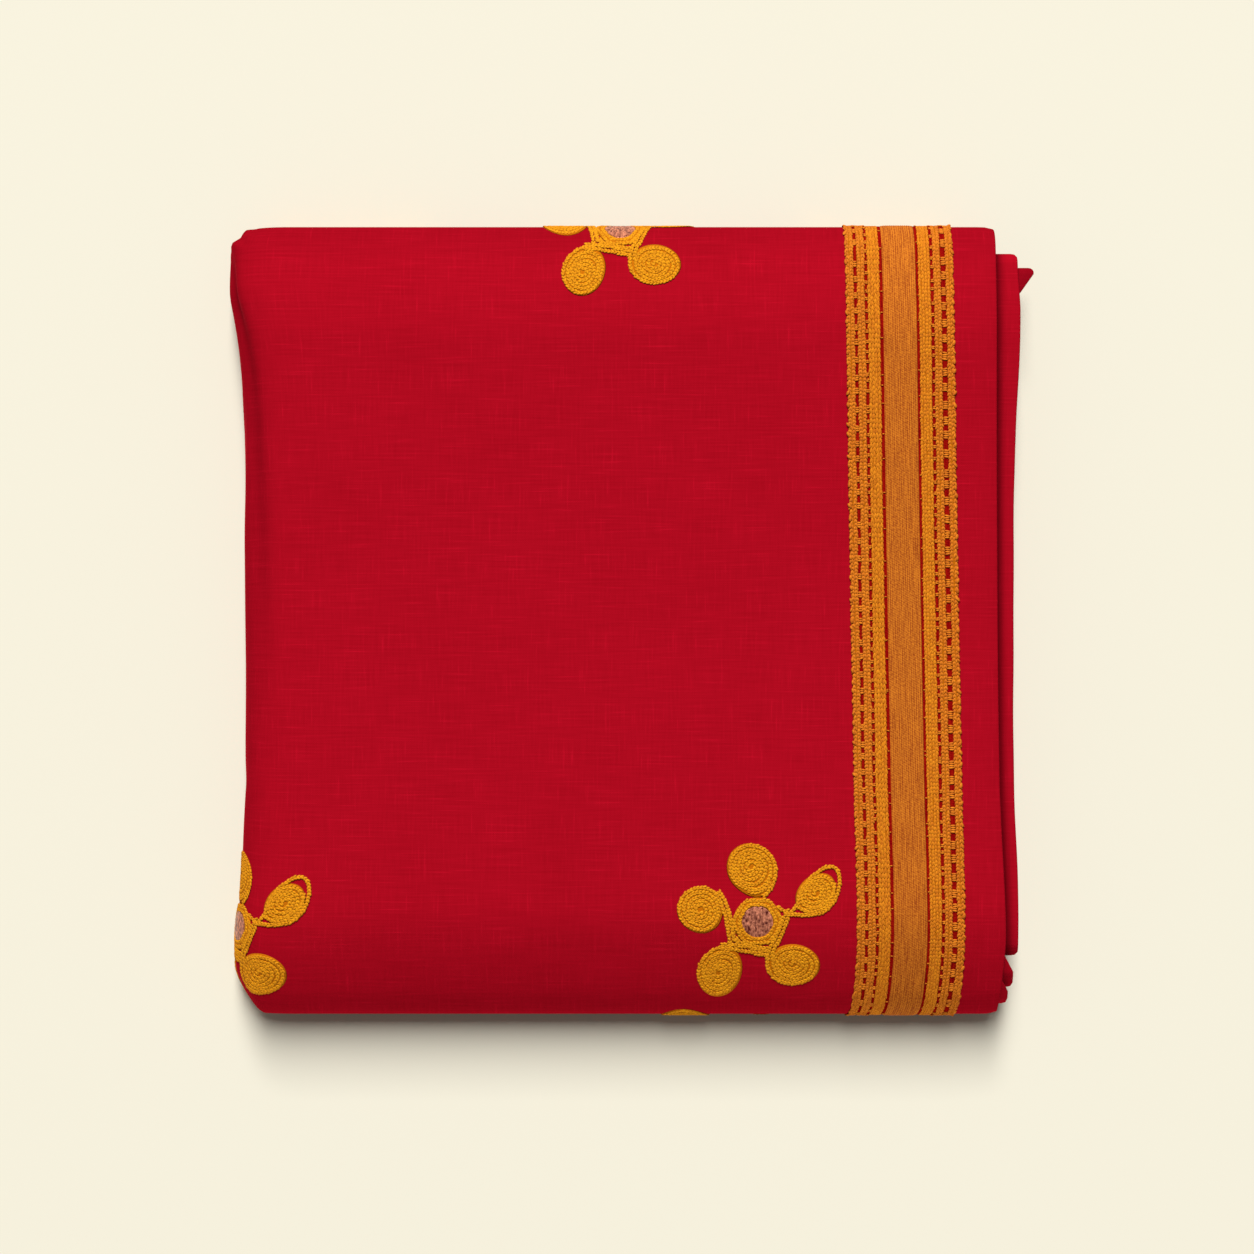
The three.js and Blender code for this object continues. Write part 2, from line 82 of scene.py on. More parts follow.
# Soft troughs, and ridges where the depth is negative, from one place on the cloth to another, each given as
# how far across it and at which y. The underside has only troughs, because its flat rests on the table.
CREASES = [
    # from          to            width  deep
    ((-140, -30), (-112, -104), 6.0, 0.42),
    ((-126, -22), (-92, -122), 9.0, -0.22),
    ((-119, 132), (-110, 40), 11.0, -0.34),
    ((-92, 138), (-74, 62), 14.0, 0.24),
    ((-60, -118), (66, -126), 6.5, 0.26),
    ((92, 132), (60, 70), 12.0, 0.2),
    ((132, -70), (120, -138), 5.0, 0.24),
    ((20, 140), (84, 128), 6.0, 0.18),
    ((-30, 60), (74, 48), 18.0, -0.14),
    ((-150, 96), (-156, 30), 4.5, 0.7),
    ((-163, 122), (-170, 54), 5.5, 0.8),
    ((-148, -44), (-168, -96), 4.5, 0.6),
    ((-172, 20), (-181, -70), 5.0, 0.7),
    ((-158, -20), (-160, 70), 6.0, -0.4),
    ((-214, 120), (-262, 24), 9.0, 0.5),
    ((-240, -40), (-216, -132), 7.0, 0.55),
    ((-330, 96), (-300, -14), 12.0, 0.4),
    ((-398, -30), (-436, -120), 8.0, 0.5),
    ((-430, 70), (-372, 122), 6.0, 0.35),
]
CREASE_BOW = 0.06  # how far a crease bows to one side, as a share of its length
FADE_IN, FADE_OUT = (-0.05, 0.4), (1.05, 0.55)  # between which shares of its length it starts and ends


def ease(start, stop, value):
    """0 to 1 with soft ends, as the value goes from start to stop."""
    t = np.clip((value - start) / (stop - start), 0, 1)
    return t * t * (3 - 2 * t)


def follow(table, y, column=1):
    """A column of a table of rows (y, ...), as a smooth curve through them. Its rows run from far to near."""
    rows = np.array(table, float)[::-1]
    at, value = rows[:, 0], rows[:, column]
    slope = np.zeros(len(rows))
    slope[1:-1] = (value[2:] - value[:-2]) / (at[2:] - at[:-2])
    y = np.clip(y, at[0], at[-1])
    i = np.clip(np.searchsorted(at, y, side="right") - 1, 0, len(at) - 2)
    span = at[i + 1] - at[i]
    t = (y - at[i]) / span
    bend = span * t * (1 - t) * ((1 - t) * slope[i] - t * slope[i + 1])
    return value[i] + (value[i + 1] - value[i]) * t * t * (3 - 2 * t) + bend


def roll(along, lift=0.0):
    """A place along the cloth, lifted off its outer side, as a y and a depth below that side."""
    reach = np.abs(along)
    turn = np.clip((reach - FLAT) / EDGE_R, 0, pi)
    turned_in = np.maximum(reach - ROLLED, 0)
    radius = EDGE_R + lift
    y = np.sign(along) * (np.minimum(reach, FLAT) + radius * np.sin(turn) - turned_in)
    return y, EDGE_R - radius * np.cos(turn)


def book(across, depth):
    """A place across the cloth, from the top's right, round the spine and underneath, as an x and a z."""
    full_turn = (SPINE_X - across) / STACK
    turn = np.clip(full_turn, 0, pi)
    radius = STACK - depth
    x = np.maximum(across, SPINE_X) - radius * np.sin(turn) + np.maximum(full_turn - pi, 0) * STACK
    return x, STACK + radius * np.cos(turn)


def underneath(x):
    """The place across the cloth that comes to lie at an x underneath."""
    return UNDER_ACROSS - (x - SPINE_X)


def trough_depth(across, y):
    middle = SPINE_X - STACK * np.radians(follow(SHOULDER_TROUGH, y))
    return follow(SHOULDER_TROUGH, y, 2) * np.exp(-(((across - middle) / TROUGH_WIDTH) ** 2))


def crease_depth(across, y):
    """How far the creases take the cloth's outer side inwards."""
    depth = trough_depth(across, y)
    for (across_0, y_0), (across_1, y_1), width, deep in CREASES:
        run_x, run_y = across_1 - across_0, y_1 - y_0
        long = (run_x**2 + run_y**2) ** 0.5
        share = ((across - across_0) * run_x + (y - y_0) * run_y) / long**2
        off = ((across - across_0) * run_y - (y - y_0) * run_x) / long
        bow = CREASE_BOW * long * np.sin(pi * np.clip(share, 0, 1))
        taper = ease(*FADE_IN, share) * ease(*FADE_OUT, share)
        depth = depth + deep * taper * np.exp(-(((off - bow) / width) ** 2))
    return depth


def drawn_in(x, y):
    """How far the near corner of the spine is drawn towards the far side."""
    reach, x_from, x_to, y_from, y_to = DRAWN_IN
    return reach * ease(x_from, x_to, x) * ease(y_from, y_to, y)


def settle(x, y, z):
    """The packet's soft shape: thin sides, sloping ends, a flared spine, one corner drawn in, one cut off."""
    sides = (1 - (x / CROWN_HALF_X) ** 4) * (1 - (y / CROWN_HALF_Y) ** 4)
    flare = follow(SPINE_FLARE, y) * ease(FLARE_FROM, SPINE_LEFT, x)
    off_x, off_y = np.maximum(SPINE_LEFT + EDGE_R - x, 0), np.maximum(y - FLAT, 0)
    turn = np.arctan2(off_y, off_x)
    cut = -CUT_OFF * np.cos(8 * turn) * np.sin(2 * turn) * np.hypot(off_x, off_y) / EDGE_R
    thinned = CROWN_SHARE * (1 - sides)
    for y_from, y_to, drop, power in END_SLOPES:
        thinned = thinned + drop / (2 * STACK) * np.clip((y - y_from) / (y_to - y_from), 0, 1) ** power
    return x - flare - cut * np.cos(turn), y + drawn_in(x, y) + cut * np.sin(turn), z * (1 - thinned)


def place(across, y, depth):
    """A point of the packet, from a place across the cloth, a y, and a depth below its outer side."""
    inner_share = np.clip(1 - depth / STACK, 0, 1)
    x, z = book(across, depth + crease_depth(across, y) * inner_share)
    return np.stack(np.broadcast_arrays(*settle(x, y, z)), axis=-1)


def on_cloth(across, along, lift=0.0):
    """A point of the packet, from a place across the cloth and along it, and a lift off its outer side."""
    y, depth = roll(along, lift)
    return place(across, y, depth)


def grid_faces(rows, columns, rows_joined=False, columns_joined=False):
    """Quads over a grid of points, and from its last row or column back to its first where it is joined."""
    i, j = np.meshgrid(np.arange(rows - (not rows_joined)), np.arange(columns - (not columns_joined)),
                       indexing="ij")
    next_i, next_j = (i + 1) % rows, (j + 1) % columns
    corners = [i * columns + j, i * columns + next_j, next_i * columns + next_j, next_i * columns + j]
    return np.stack(corners, axis=-1).reshape(-1, 4)


def mesh_piece(name, points, faces, uv=None, outward=True, **tones):
    """A smooth piece from points in millimetres, with a UV in metres and named tones of its points."""
    mesh = bpy.data.meshes.new(name)
    mesh.from_pydata((np.asarray(points).reshape(-1, 3) * MM).tolist(), [], np.asarray(faces).tolist())
    corner_points = np.zeros(len(mesh.loops), int)
    mesh.loops.foreach_get("vertex_index", corner_points)
    if uv is not None:
        layer = mesh.uv_layers.new(name="cloth")
        layer.data.foreach_set("uv", (np.asarray(uv).reshape(-1, 2) * MM)[corner_points].ravel())
    for tone, values in tones.items():
        mesh.attributes.new(tone, "FLOAT", "POINT").data.foreach_set("value", np.ravel(values))
    if outward:
        shape = bmesh.new()
        shape.from_mesh(mesh)
        bmesh.ops.recalc_face_normals(shape, faces=shape.faces)
        shape.to_mesh(mesh)
        shape.free()
    mesh.shade_smooth()
    piece = bpy.data.objects.new(name, mesh)
    bpy.context.scene.collection.objects.link(piece)
    return piece


def give_wall(piece, thickness):
    """Gives a sheet its thickness, on its inner side."""
    bpy.ops.object.select_all(action="DESELECT")
    bpy.context.view_layer.objects.active = piece
    piece.select_set(True)
    wall = piece.modifiers.new("wall", "SOLIDIFY")
    wall.thickness = thickness * MM
    wall.offset = -1
    bpy.ops.object.modifier_apply(modifier=wall.name)


class Shade:
    """An output of a node in a material, which Python's operators join to others through Math nodes."""

    def __init__(self, tree, made=None, output=0):
        self.tree, self.made, self.output = tree, made, output

    def node(self, kind, settings=None, sockets=None, output=0):
        """Any other node: its type, its settings, then the values or links of its sockets."""
        made = self.tree.nodes.new(kind)
        for name, value in (settings or {}).items():
            setattr(made, name, value)
        for name, value in (sockets or {}).items():
            if isinstance(value, Shade):
                self.tree.links.new(value.made.outputs[value.output], made.inputs[name])
            else:
                made.inputs[name].default_value = value
        return Shade(self.tree, made, output)

    def beside(self, output):
        """Another output of the same node."""
        return Shade(self.tree, self.made, output)

    def maths(self, operation, *values):
        return self.node("ShaderNodeMath", {"operation": operation}, dict(enumerate(values)))

    def sine(self):
        return self.maths("SINE", self)

    def __add__(self, other):
        return self.maths("ADD", self, other)

    def __sub__(self, other):
        return self.maths("SUBTRACT", self, other)

    def __rsub__(self, other):
        return self.maths("SUBTRACT", other, self)

    def __mul__(self, other):
        return self.maths("MULTIPLY", self, other)

    __radd__ = __add__
    __rmul__ = __mul__

    def mix(self, first, second):
        """Two colours, mixed by this value."""
        return self.node("ShaderNodeMix", {"data_type": "RGBA"}, {0: self, 6: first, 7: second}, output=2)

    def tinted(self, share):
        """A colour, darkened to a share of its light."""
        return self.node("ShaderNodeVectorMath", {"operation": "SCALE"}, {0: self, "Scale": share})

    def scaled(self, x, y, z=1.0):
        return self.node("ShaderNodeVectorMath", {"operation": "MULTIPLY"}, {0: self, 1: (x, y, z)})

    def noise(self, scale=1.0, detail=2.0):
        """A noise over this place, about 0.5."""
        return self.node("ShaderNodeTexNoise", {}, {"Vector": self, "Scale": scale, "Detail": detail})


def paint(red, green, blue):
    """A colour as a shader wants it, from its bytes on screen."""
    def linear(byte):
        share = byte / 255
        return share / 12.92 if share <= 0.04045 else ((share + 0.055) / 1.055) ** 2.4
    return (linear(red), linear(green), linear(blue), 1.0)


def new_material(name):
    """A material with no nodes yet, and what its nodes are made by."""
    material = bpy.data.materials.new(name)
    material.use_nodes = True
    material.node_tree.nodes.clear()
    return material, Shade(material.node_tree)


def finish_with(shade, colour, roughness, height, distance, fixed):
    """Ends a material: a Principled shader with a bump from a height between 0 and 1."""
    normal = shade.node("ShaderNodeBump", {}, {"Height": height, "Distance": distance * MM, "Strength": 1.0})
    sockets = {"Base Color": colour, "Roughness": roughness, "Normal": normal, **fixed}
    surface = shade.node("ShaderNodeBsdfPrincipled", {}, sockets)
    shade.node("ShaderNodeOutputMaterial", {}, {"Surface": surface})


THREAD = 0.42  # from one thread of the red cloth to the next
SLUB = 0.62  # the value of the noise from which a thread is a slub
MATT = {"Specular IOR Level": 0.0}


def red_cloth(name, deep, bright):
    """Plain-woven cloth with slubs: thick stretches of thread, long ones across it and shorter ones along."""
    material, shade = new_material(name)
    place_on_cloth = shade.node("ShaderNodeUVMap", {"uv_map": "cloth"})
    weft = place_on_cloth.scaled(52, 1250).noise(detail=3)
    warp = place_on_cloth.scaled(1250, 70).noise(detail=3)
    cloudy = place_on_cloth.scaled(22, 22).noise(detail=3)
    fuzz = place_on_cloth.scaled(2600, 2600).noise(detail=1)
    axes = shade.node("ShaderNodeSeparateXYZ", {}, {0: place_on_cloth})
    turns = pi / (THREAD * MM)
    weave = (axes * turns).sine() * (axes.beside(1) * turns).sine()
    slubs = weft.maths("MAXIMUM", weft - SLUB, 0.0) + warp.maths("MAXIMUM", warp - SLUB, 0.0)
    tone = 0.44 + (weft - 0.5) * 0.75 + (warp - 0.5) * 0.5 + slubs * 3.0 + (cloudy - 0.5) * 0.3 + weave * 0.06
    # That attribute is painted shade, which darkens the cloth in troughs, gaps and along far edges.
    open_to_light = 1 - shade.node("ShaderNodeAttribute", {"attribute_name": "crevice"}, output=2)
    colour = tone.mix(deep, bright).tinted(open_to_light)
    height = 0.5 + weave * 0.2 + (weft - 0.5) * 0.5 + (warp - 0.5) * 0.3 + slubs * 1.6 + (fuzz - 0.5) * 0.3
    finish_with(shade, colour, 0.62 + (weft - 0.5) * 0.3, height, 0.09, {
        **MATT, "Sheen Weight": 0.12, "Sheen Roughness": 0.3, "Sheen Tint": (1.0, 0.05, 0.08, 1.0)})
    return material


RED = red_cloth("red_slubbed_cloth", paint(124, 5, 17), paint(150, 9, 27))


def stations(*stretches):
    """Places one after the other: each stretch is (from, to, cells)."""
    parts = [np.linspace(start, stop, cells + 1)[:-1] for start, stop, cells in stretches]
    return np.append(np.concatenate(parts), stretches[-1][1])


# Where the pattern's flowers lie on the cloth, from the middle of the top: across it, and along it. Those
# underneath are pressed flush into the face that the packet rests on, as far as it is flat.
WRAP_END = FLAT + EDGE_R * radians(152)  # trim ends inside the rolled edges
SPINE_CLEAR = SPINE_X - STACK * radians(148)  # and short of where the spine meets the table
FLOWERS = {
    # name: across, along, size, the CAD nodes that it replaces
    "flower_top": (48.5, -114.4, 1.0, ["flower_top"]),
    "flower_far_edge": (-3.8, 152.4, 0.97, ["flower_far_edge"]),
    "flower_spine": (-152.4, -118.4, 1.0, ["flower_spine"]),
    "flower_near_edge": (23.4, -180.5, 1.0,
                         ["flower_near_edge_1", "flower_near_edge_2", "flower_near_edge_3"]),
    "flower_under_left": (-212.0, 148.0, 1.0, ["flower_under_left"]),
    "flower_under_right": (-416.0, 148.0, 0.95, ["flower_under_right"]),
    "flower_under_middle": (-318.0, -92.0, 0.96, []),
}
PRESSED = 0.85  # how far a flush flower's cloth gives way
FLUSH_HEIGHT = 0.72  # and how high its cords then stand, as a share of their height elsewhere
PRESSED_FROM, PRESSED_TO = 45, 32  # how far from its middle the cloth starts to give way, and has done so
LIFTS_OFF = radians(26)  # how far an edge has turned where it has left the table


def grounded(across, along):
    """1 where the cloth lies flat on the table, and less where it turns up at the spine and the edges."""
    rolled_up = ease(0, LIFTS_OFF, (np.abs(along) - FLAT) / EDGE_R)
    return (1 - rolled_up) * ease(UNDER_ACROSS + 6, UNDER_ACROSS, across)


def pressed_in(across, along):
    """How far the cloth underneath gives way to the flowers that the packet rests on."""
    depth = 0.0
    for flower_across, flower_along, size, _ in FLOWERS.values():
        if flower_across < UNDER_ACROSS:
            off = np.hypot(across - flower_across, along - flower_along) / size
            depth = depth + PRESSED * ease(PRESSED_FROM, PRESSED_TO, off)
    return depth * grounded(across, along)


def outer_cloth():
    """The outermost stretch, from the turned edge on top, round the spine, to the one underneath."""
    along = stations((-ROLLED - LIP, -ROLLED, 3), (-ROLLED, -FLAT, 20), (-FLAT, FLAT, 94), (FLAT, ROLLED, 20),
                     (ROLLED, ROLLED + LIP, 3))
    y = roll(along)[0]
    top, under = follow(TOP_EDGE, y) - HEM_R, follow(UNDER_EDGE, y) - HEM_R
    hem = [(HEM_R * sin(turn), HEM_R * (1 - cos(turn))) for turn in np.linspace(pi, 0, 7)]
    rows = [(top - back, 2 * HEM_R) for back in (HEM_DEEP, HEM_DEEP / 2)]  # each is (across, drop)
    rows += [(top + out, drop) for out, drop in hem]
    rows += [(top * (1 - share) + SPINE_X * share, 0) for share in np.linspace(0, 1, 91)[1:]]
    rows += [(across, 0) for across in np.linspace(SPINE_X, UNDER_ACROSS, 36)[1:]]
    rows += [(underneath(under * (1 - share) + SPINE_X * share), 0) for share in np.linspace(1, 0, 68)[1:]]
    rows += [(underneath(under + out), drop) for out, drop in hem[-2::-1]]
    rows += [(underneath(under - back), 2 * HEM_R) for back in (HEM_DEEP / 2, HEM_DEEP)]
    across, drop = (np.array([np.broadcast_to(row[k], along.shape) for row in rows]) for k in (0, 1))
    sag = EDGE_SAG * ease(SAG_FROM, 0, follow(TOP_EDGE, y) - across)
    points = on_cloth(across, along, -drop - sag - pressed_in(across, along))
    uv = np.stack([across + drop, np.broadcast_to(along, across.shape)], axis=-1)
    # Painted shade: darker in the shoulder trough and along the far rolled edge.
    shade = TROUGH_PAINTED_SHADE * trough_depth(across, y) + FAR_RIM_PAINTED_SHADE * ease(*FAR_RIM, along)
    piece = mesh_piece("outer_cloth", points, grid_faces(*across.shape), uv, outward=False, crevice=shade)
    give_wall(piece, CLOTH)
    piece.data.materials.append(RED)
    return piece


outer = outer_cloth()
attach(outer, "root")
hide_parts("outer_wrap")


# The folds packed inside: the same cloth, folded over itself into flattened loops one inside the other. Each
# runs right through the packet and round its spine, and their edges show in two stacks at the open side.
FOLD_EASE = 0.35  # between the outermost stretch and the outermost loop
LOOPS, LOOPS_PER_ROW = 9, 2
LOOP_PITCH = 2.05 / LOOPS_PER_ROW
LOOP_WALL = 0.66  # two layers of cloth
CORNER = 1.8  # corner radius of an edge
NESTED, TUCKED = 0.9, 0.5  # how far a loop between two rows stays inside them, at its edge and at its ends
UNEVEN = [(0.35, 17, 1.9), (0.2, 6.1, 2.6)]  # waves of an edge: how far, how long, and the shift at each loop
SWELL, SWELL_LONG, SWELL_SHIFT = 0.1, 21, 2.3  # the same of a loop's upper and lower side
# One row for every second loop, outermost first: its far and near ends, and its edge as a table of (y, x).
UPPER_ROWS = [
    (148.6, -147.6, [(140, 136), (-130, 138), (-143, 145.2)]),
    (145, -141, [(140, 138), (-120, 139), (-134, 146.4)]),
    (141.2, -128.4, [(135, 148.6), (118, 149.4), (60, 147.2), (8, 146.6), (-60, 146.9), (-118, 148.6)]),
    (135.6, -124, [(133, 154.8), (126, 150), (118, 143), (-120, 142)]),
    (131, -120, [(120, 139), (-110, 141)]),
]
SECOND_LOOP = 2 * LOOPS_PER_ROW  # the loop that reaches out as a stretch of its own
LOWER_ROWS = [
    (148.4, -147.4, [(140, 138), (20, 140.5), (-140, 138.5)]),
    (144.2, -144.8, [(140, 142), (-20, 139), (-140, 142.5)]),
    (143, -139, [(130, 140), (10, 142.8), (-130, 139.4)]),
    (137, -136, [(130, 143.6), (-30, 140.6), (-130, 143)]),
    (133, -128, [(120, 141), (-120, 140)]),
]
SECOND_ROOT = 104  # where that stretch starts, inside the packet
# How far from its edge to the spine each row of a loop's points lies: close together near the edge.
LOOP_SHARES = (0.014, 0.035, 0.07, 0.12, 0.2, 0.35, 0.6, 0.85)


def loop_edge(rows, loop, y):
    """The x of a loop's edge. A loop between two rows stays just inside both."""
    row, between = divmod(loop, LOOPS_PER_ROW)
    edge = follow(rows[row][2], y)
    if between:
        edge = np.minimum(edge, follow(rows[row + 1][2], y)) - NESTED
    uneven = sum(far * np.sin(y / long + shift * loop) for far, long, shift in UNEVEN)
    return edge + uneven * (0.3 if loop == SECOND_LOOP else 1)


def loop_ends(rows, loop):
    """The far and near ends of a loop."""
    row, between = divmod(loop, LOOPS_PER_ROW)
    far, near = rows[row][:2]
    if between:
        far, near = (far + rows[row + 1][0]) / 2 - TUCKED, (near + rows[row + 1][1]) / 2 + TUCKED
    return far, near


def rounded(edge, y, far, near):
    """An edge with its corners rounded off at its far and near ends."""
    past = np.clip(np.maximum(y - (far - CORNER), near + CORNER - y) / CORNER, 0, 1)
    return edge - CORNER * (1 - np.sqrt(1 - past**2))


def flat_loop(loop, wall, side_cells, across_of, ends_of):
    """A flattened loop of cloth with rounded edges, through the rows (across, depth) that across_of gives."""
    outer_r = EDGE_R - (WALL + FOLD_EASE + LOOP_PITCH * loop)
    wall = min(wall, outer_r * 0.9)
    turns = np.linspace(-pi / 2, pi / 2, 9)[1:-1]
    side, flat_share = np.ones(side_cells + 1), np.linspace(0, 1, side_cells + 1)
    share = np.concatenate([flat_share, np.ones(len(turns)), flat_share[::-1], np.zeros(len(turns))])
    angle = np.concatenate([-pi / 2 * side, turns, pi / 2 * side, turns + pi])

    def y_at(radius, far, near):
        return near + outer_r + (far - near - 2 * outer_r) * share + radius * np.cos(angle)

    y_guess = y_at(outer_r, *ends_of(0))
    swell = SWELL * np.sin(y_guess / SWELL_LONG + SWELL_SHIFT * loop) * ease(0, 1.5, outer_r)
    columns = []
    for across, inward in across_of(y_guess, wall):
        radius = outer_r - inward + swell
        y = y_at(radius, *ends_of(np.mean(across)))
        columns.append(place(across, y, EDGE_R + radius * np.sin(angle)))
    points = np.stack(columns, axis=1)
    length = np.cumsum(np.append(0, np.linalg.norm(np.diff(points[:, 0], axis=0), axis=1)))
    widths = np.cumsum(np.append(0, np.linalg.norm(np.diff(points[0], axis=0), axis=1)))
    # Each loop has its own part of the weave, so that no two show the same slubs.
    uv = np.stack(np.broadcast_arrays(widths[None, :] + 37 * loop, length[:, None] + 53 * loop), axis=-1)
    return points, uv


def rounded_edge(edge, wall):
    """The rows that carry a loop's cloth round its edge, from its outer side to its inner one."""
    return [(edge - wall / 2 + wall / 2 * sin(turn), wall / 2 * (1 - cos(turn)))
            for turn in np.linspace(0, pi, 6)]


def through_loop(loop):
    """A loop that runs from the upper open edge, round the spine, to the lower open edge."""
    upper, lower = loop_ends(UPPER_ROWS, loop), loop_ends(LOWER_ROWS, loop)

    def ends_of(across):
        share = ease(SPINE_X, UNDER_ACROSS, across)
        return upper[0] + (lower[0] - upper[0]) * share, upper[1] + (lower[1] - upper[1]) * share

    def across_of(y, wall):
        top = rounded(loop_edge(UPPER_ROWS, loop, y), y, *upper)
        if loop == SECOND_LOOP:
            top = np.full_like(y, SECOND_ROOT - 2)
        under = rounded(loop_edge(LOWER_ROWS, loop, y), y, *lower)
        between = [top + (SPINE_X - top) * share for share in LOOP_SHARES]
        between += [np.full_like(y, across) for across in np.linspace(SPINE_X, UNDER_ACROSS, 13)]
        between += [underneath(under + (SPINE_X - under) * share) for share in LOOP_SHARES[::-1]]
        under_edge = [(underneath(x), inward) for x, inward in rounded_edge(under, wall)]
        return [*rounded_edge(top, wall)[::-1], *[(across, 0) for across in between], *under_edge,
                *[(across, wall) for across in between[::-1]]]

    return flat_loop(loop, LOOP_WALL, 36, across_of, ends_of)


def join_grids(name, grids, **tones):
    """One piece from several closed grids, each given as (points, uv)."""
    points, uv, faces, count = [], [], [], 0
    for grid_points, grid_uv in grids:
        points.append(grid_points.reshape(-1, 3))
        uv.append(grid_uv.reshape(-1, 2))
        faces.append(grid_faces(*grid_points.shape[:2], rows_joined=True, columns_joined=True) + count)
        count += len(points[-1])
    return mesh_piece(name, np.concatenate(points), np.concatenate(faces), np.concatenate(uv), **tones)


FAR_FOLDS, FAR_FOLD_PAINTED_SHADE = (90, 128), 0.35  # between which y, and how much, painted shade darkens the far folds under those above them
loops = [through_loop(loop) for loop in range(LOOPS)]
packed = join_grids("packed_folds", loops, crevice=np.concatenate(
    [FAR_FOLD_PAINTED_SHADE * ease(*FAR_FOLDS, points[..., 1].ravel()) for points, _ in loops]))
packed.data.materials.append(RED)
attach(packed, "root")
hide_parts("hidden_layers")


# The fold that stands out past the top stretch at the open side: the same cloth, folded over at its edge,
# with a gap between it and the stretch above, dark from real shade and from painted shade along the fold.
SECOND_WALL = 1.15
SECOND_SHARES = (0.02, 0.05, 0.08, 0.11, 0.14, 0.17, 0.2, 0.3, 0.45, 0.6, 0.8, 1)  # from its edge to its root
GAP, GAP_PAINTED_SHADE = (4.4, 0.4), 0.62  # between which distances from the top's edge painted shade darkens the fold, and how much


def second_fold():
    """The part of its loop that the through loop leaves out."""
    ends = loop_ends(UPPER_ROWS, SECOND_LOOP)

    def across_of(y, wall):
        edge = rounded(loop_edge(UPPER_ROWS, SECOND_LOOP, y), y, *ends)
        between = [edge + (SECOND_ROOT - edge) * share for share in SECOND_SHARES]
        return [*rounded_edge(edge, wall)[::-1], *[(across, 0) for across in between],
                *[(across, wall) for across in between[::-1]]]

    points, uv = flat_loop(SECOND_LOOP, SECOND_WALL, 110, across_of, lambda across: ends)
    # Painted shade darkens the fold next to the top stretch's edge.
    past_edge = points[..., 0] - follow(TOP_EDGE, points[..., 1])
    return join_grids("second_fold_cloth", [(points, uv)], crevice=GAP_PAINTED_SHADE * ease(*GAP, past_edge))


second = second_fold()
second.data.materials.append(RED)
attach(second, "root")
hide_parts("second_fold")


# The zari border, woven with the cloth and couched over: on a ground of dark red thread lie two chain cords,
# a gold stripe, a satin band, a second gold stripe and two more cords. It follows the top and both rolled
# edges. Places on it are measured from its middle line, which is a table of (along, across).
BORDER_MIDDLE = [(168, 102.4), (140, 102.6), (53, 103.6), (-60, 105.6), (-122, 107), (-146, 105.8),
                 (-168, 102.8)]
BORDER_ALONG = stations((-WRAP_END, -FLAT, 16), (-FLAT, FLAT, 94), (FLAT, WRAP_END, 16))
GROUND_HALF, GROUND_RISE, GROUND_RIM = 20.5, 0.26, 0.06  # half its width, its height, and that of its rims
ON_GROUND = GROUND_RISE - 0.04  # a band on the ground starts a little inside it
SATIN_LEFT, SATIN_RIGHT, SATIN_RISE, SATIN_RIM = -6.45, 6.25, 0.6, 0.02  # its rim is measured from the ground
RIB, RIB_RISE = 0.83, 0.08


def on_border(at, along, lift):
    """A point of the packet, from a place across the border and along it, and a lift off the cloth."""
    return on_cloth(follow(BORDER_MIDDLE, along) + at, along, lift)


def band(name, at, rise, base):
    """A woven band along the border: its top has the given rises, and its underside lies at the base."""
    at = np.concatenate([at, at[::-1]])
    lift = np.concatenate([rise, np.full(len(rise), base)])
    points = on_border(at, BORDER_ALONG[:, None], lift)
    rows, columns = points.shape[:2]
    uv = np.stack(np.broadcast_arrays(at, BORDER_ALONG[:, None]), axis=-1)
    across = np.arange(columns // 2 - 1)
    end_cap = np.stack([across, across + 1, columns - 2 - across, columns - 1 - across], axis=1)
    faces = [grid_faces(rows, columns, columns_joined=True), end_cap, end_cap[:, ::-1] + (rows - 1) * columns]
    piece = mesh_piece(name, points, np.concatenate(faces), uv)
    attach(piece, "root")
    return piece


TWILL = 0.9  # from one line of the twill to the next


def woven_thread(name, dark, bright, lines, slant, roughness, fixed):
    """Fine threads side by side: lines of thread a given pitch apart, crossed by a slanting twill."""
    material, shade = new_material(name)
    place_on_cloth = shade.node("ShaderNodeUVMap", {"uv_map": "cloth"})
    axes = shade.node("ShaderNodeSeparateXYZ", {}, {0: place_on_cloth})
    wander = place_on_cloth.scaled(60, 60).noise(detail=2)
    thread = axes * (2 * pi / (lines * MM)) + wander * 2.0
    thread = 0.5 + 0.5 * thread.sine()
    twill = (axes.beside(1) + axes * slant) * (2 * pi / (TWILL * MM)) + wander * 3.0
    twill = 0.5 + 0.5 * twill.sine()
    streak = place_on_cloth.scaled(2200, 90).noise(detail=3)
    fleck = place_on_cloth.scaled(1500, 1200).noise(detail=2)
    tone = 0.15 + thread * 0.45 + twill * 0.25 + (streak - 0.5) * 2.2 + (fleck - 0.5) * 2.0
    colour = tone.mix(dark, bright)
    height = thread * 0.45 + twill * 0.35 + (fleck - 0.5) * 0.5
    finish_with(shade, colour, roughness + (fleck - 0.5) * 0.2, height, 0.1, fixed)
    return material


GOLD_SHINE = {**MATT, "Metallic": 0.12}
RED_THREAD = woven_thread("border_red_thread", paint(98, 2, 5), paint(132, 14, 6), lines=0.5, slant=0.3,
                          roughness=0.65, fixed=MATT)
SATIN = woven_thread("orange_satin", paint(132, 60, 20), paint(182, 104, 30), lines=RIB, slant=0.55,
                     roughness=0.4, fixed=GOLD_SHINE)

ground = band("border_ground", np.linspace(-GROUND_HALF, GROUND_HALF, 15),
              np.array([GROUND_RIM, *[GROUND_RISE] * 13, GROUND_RIM]), 0.02)
ground.data.materials.append(RED_THREAD)
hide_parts("zari_border")

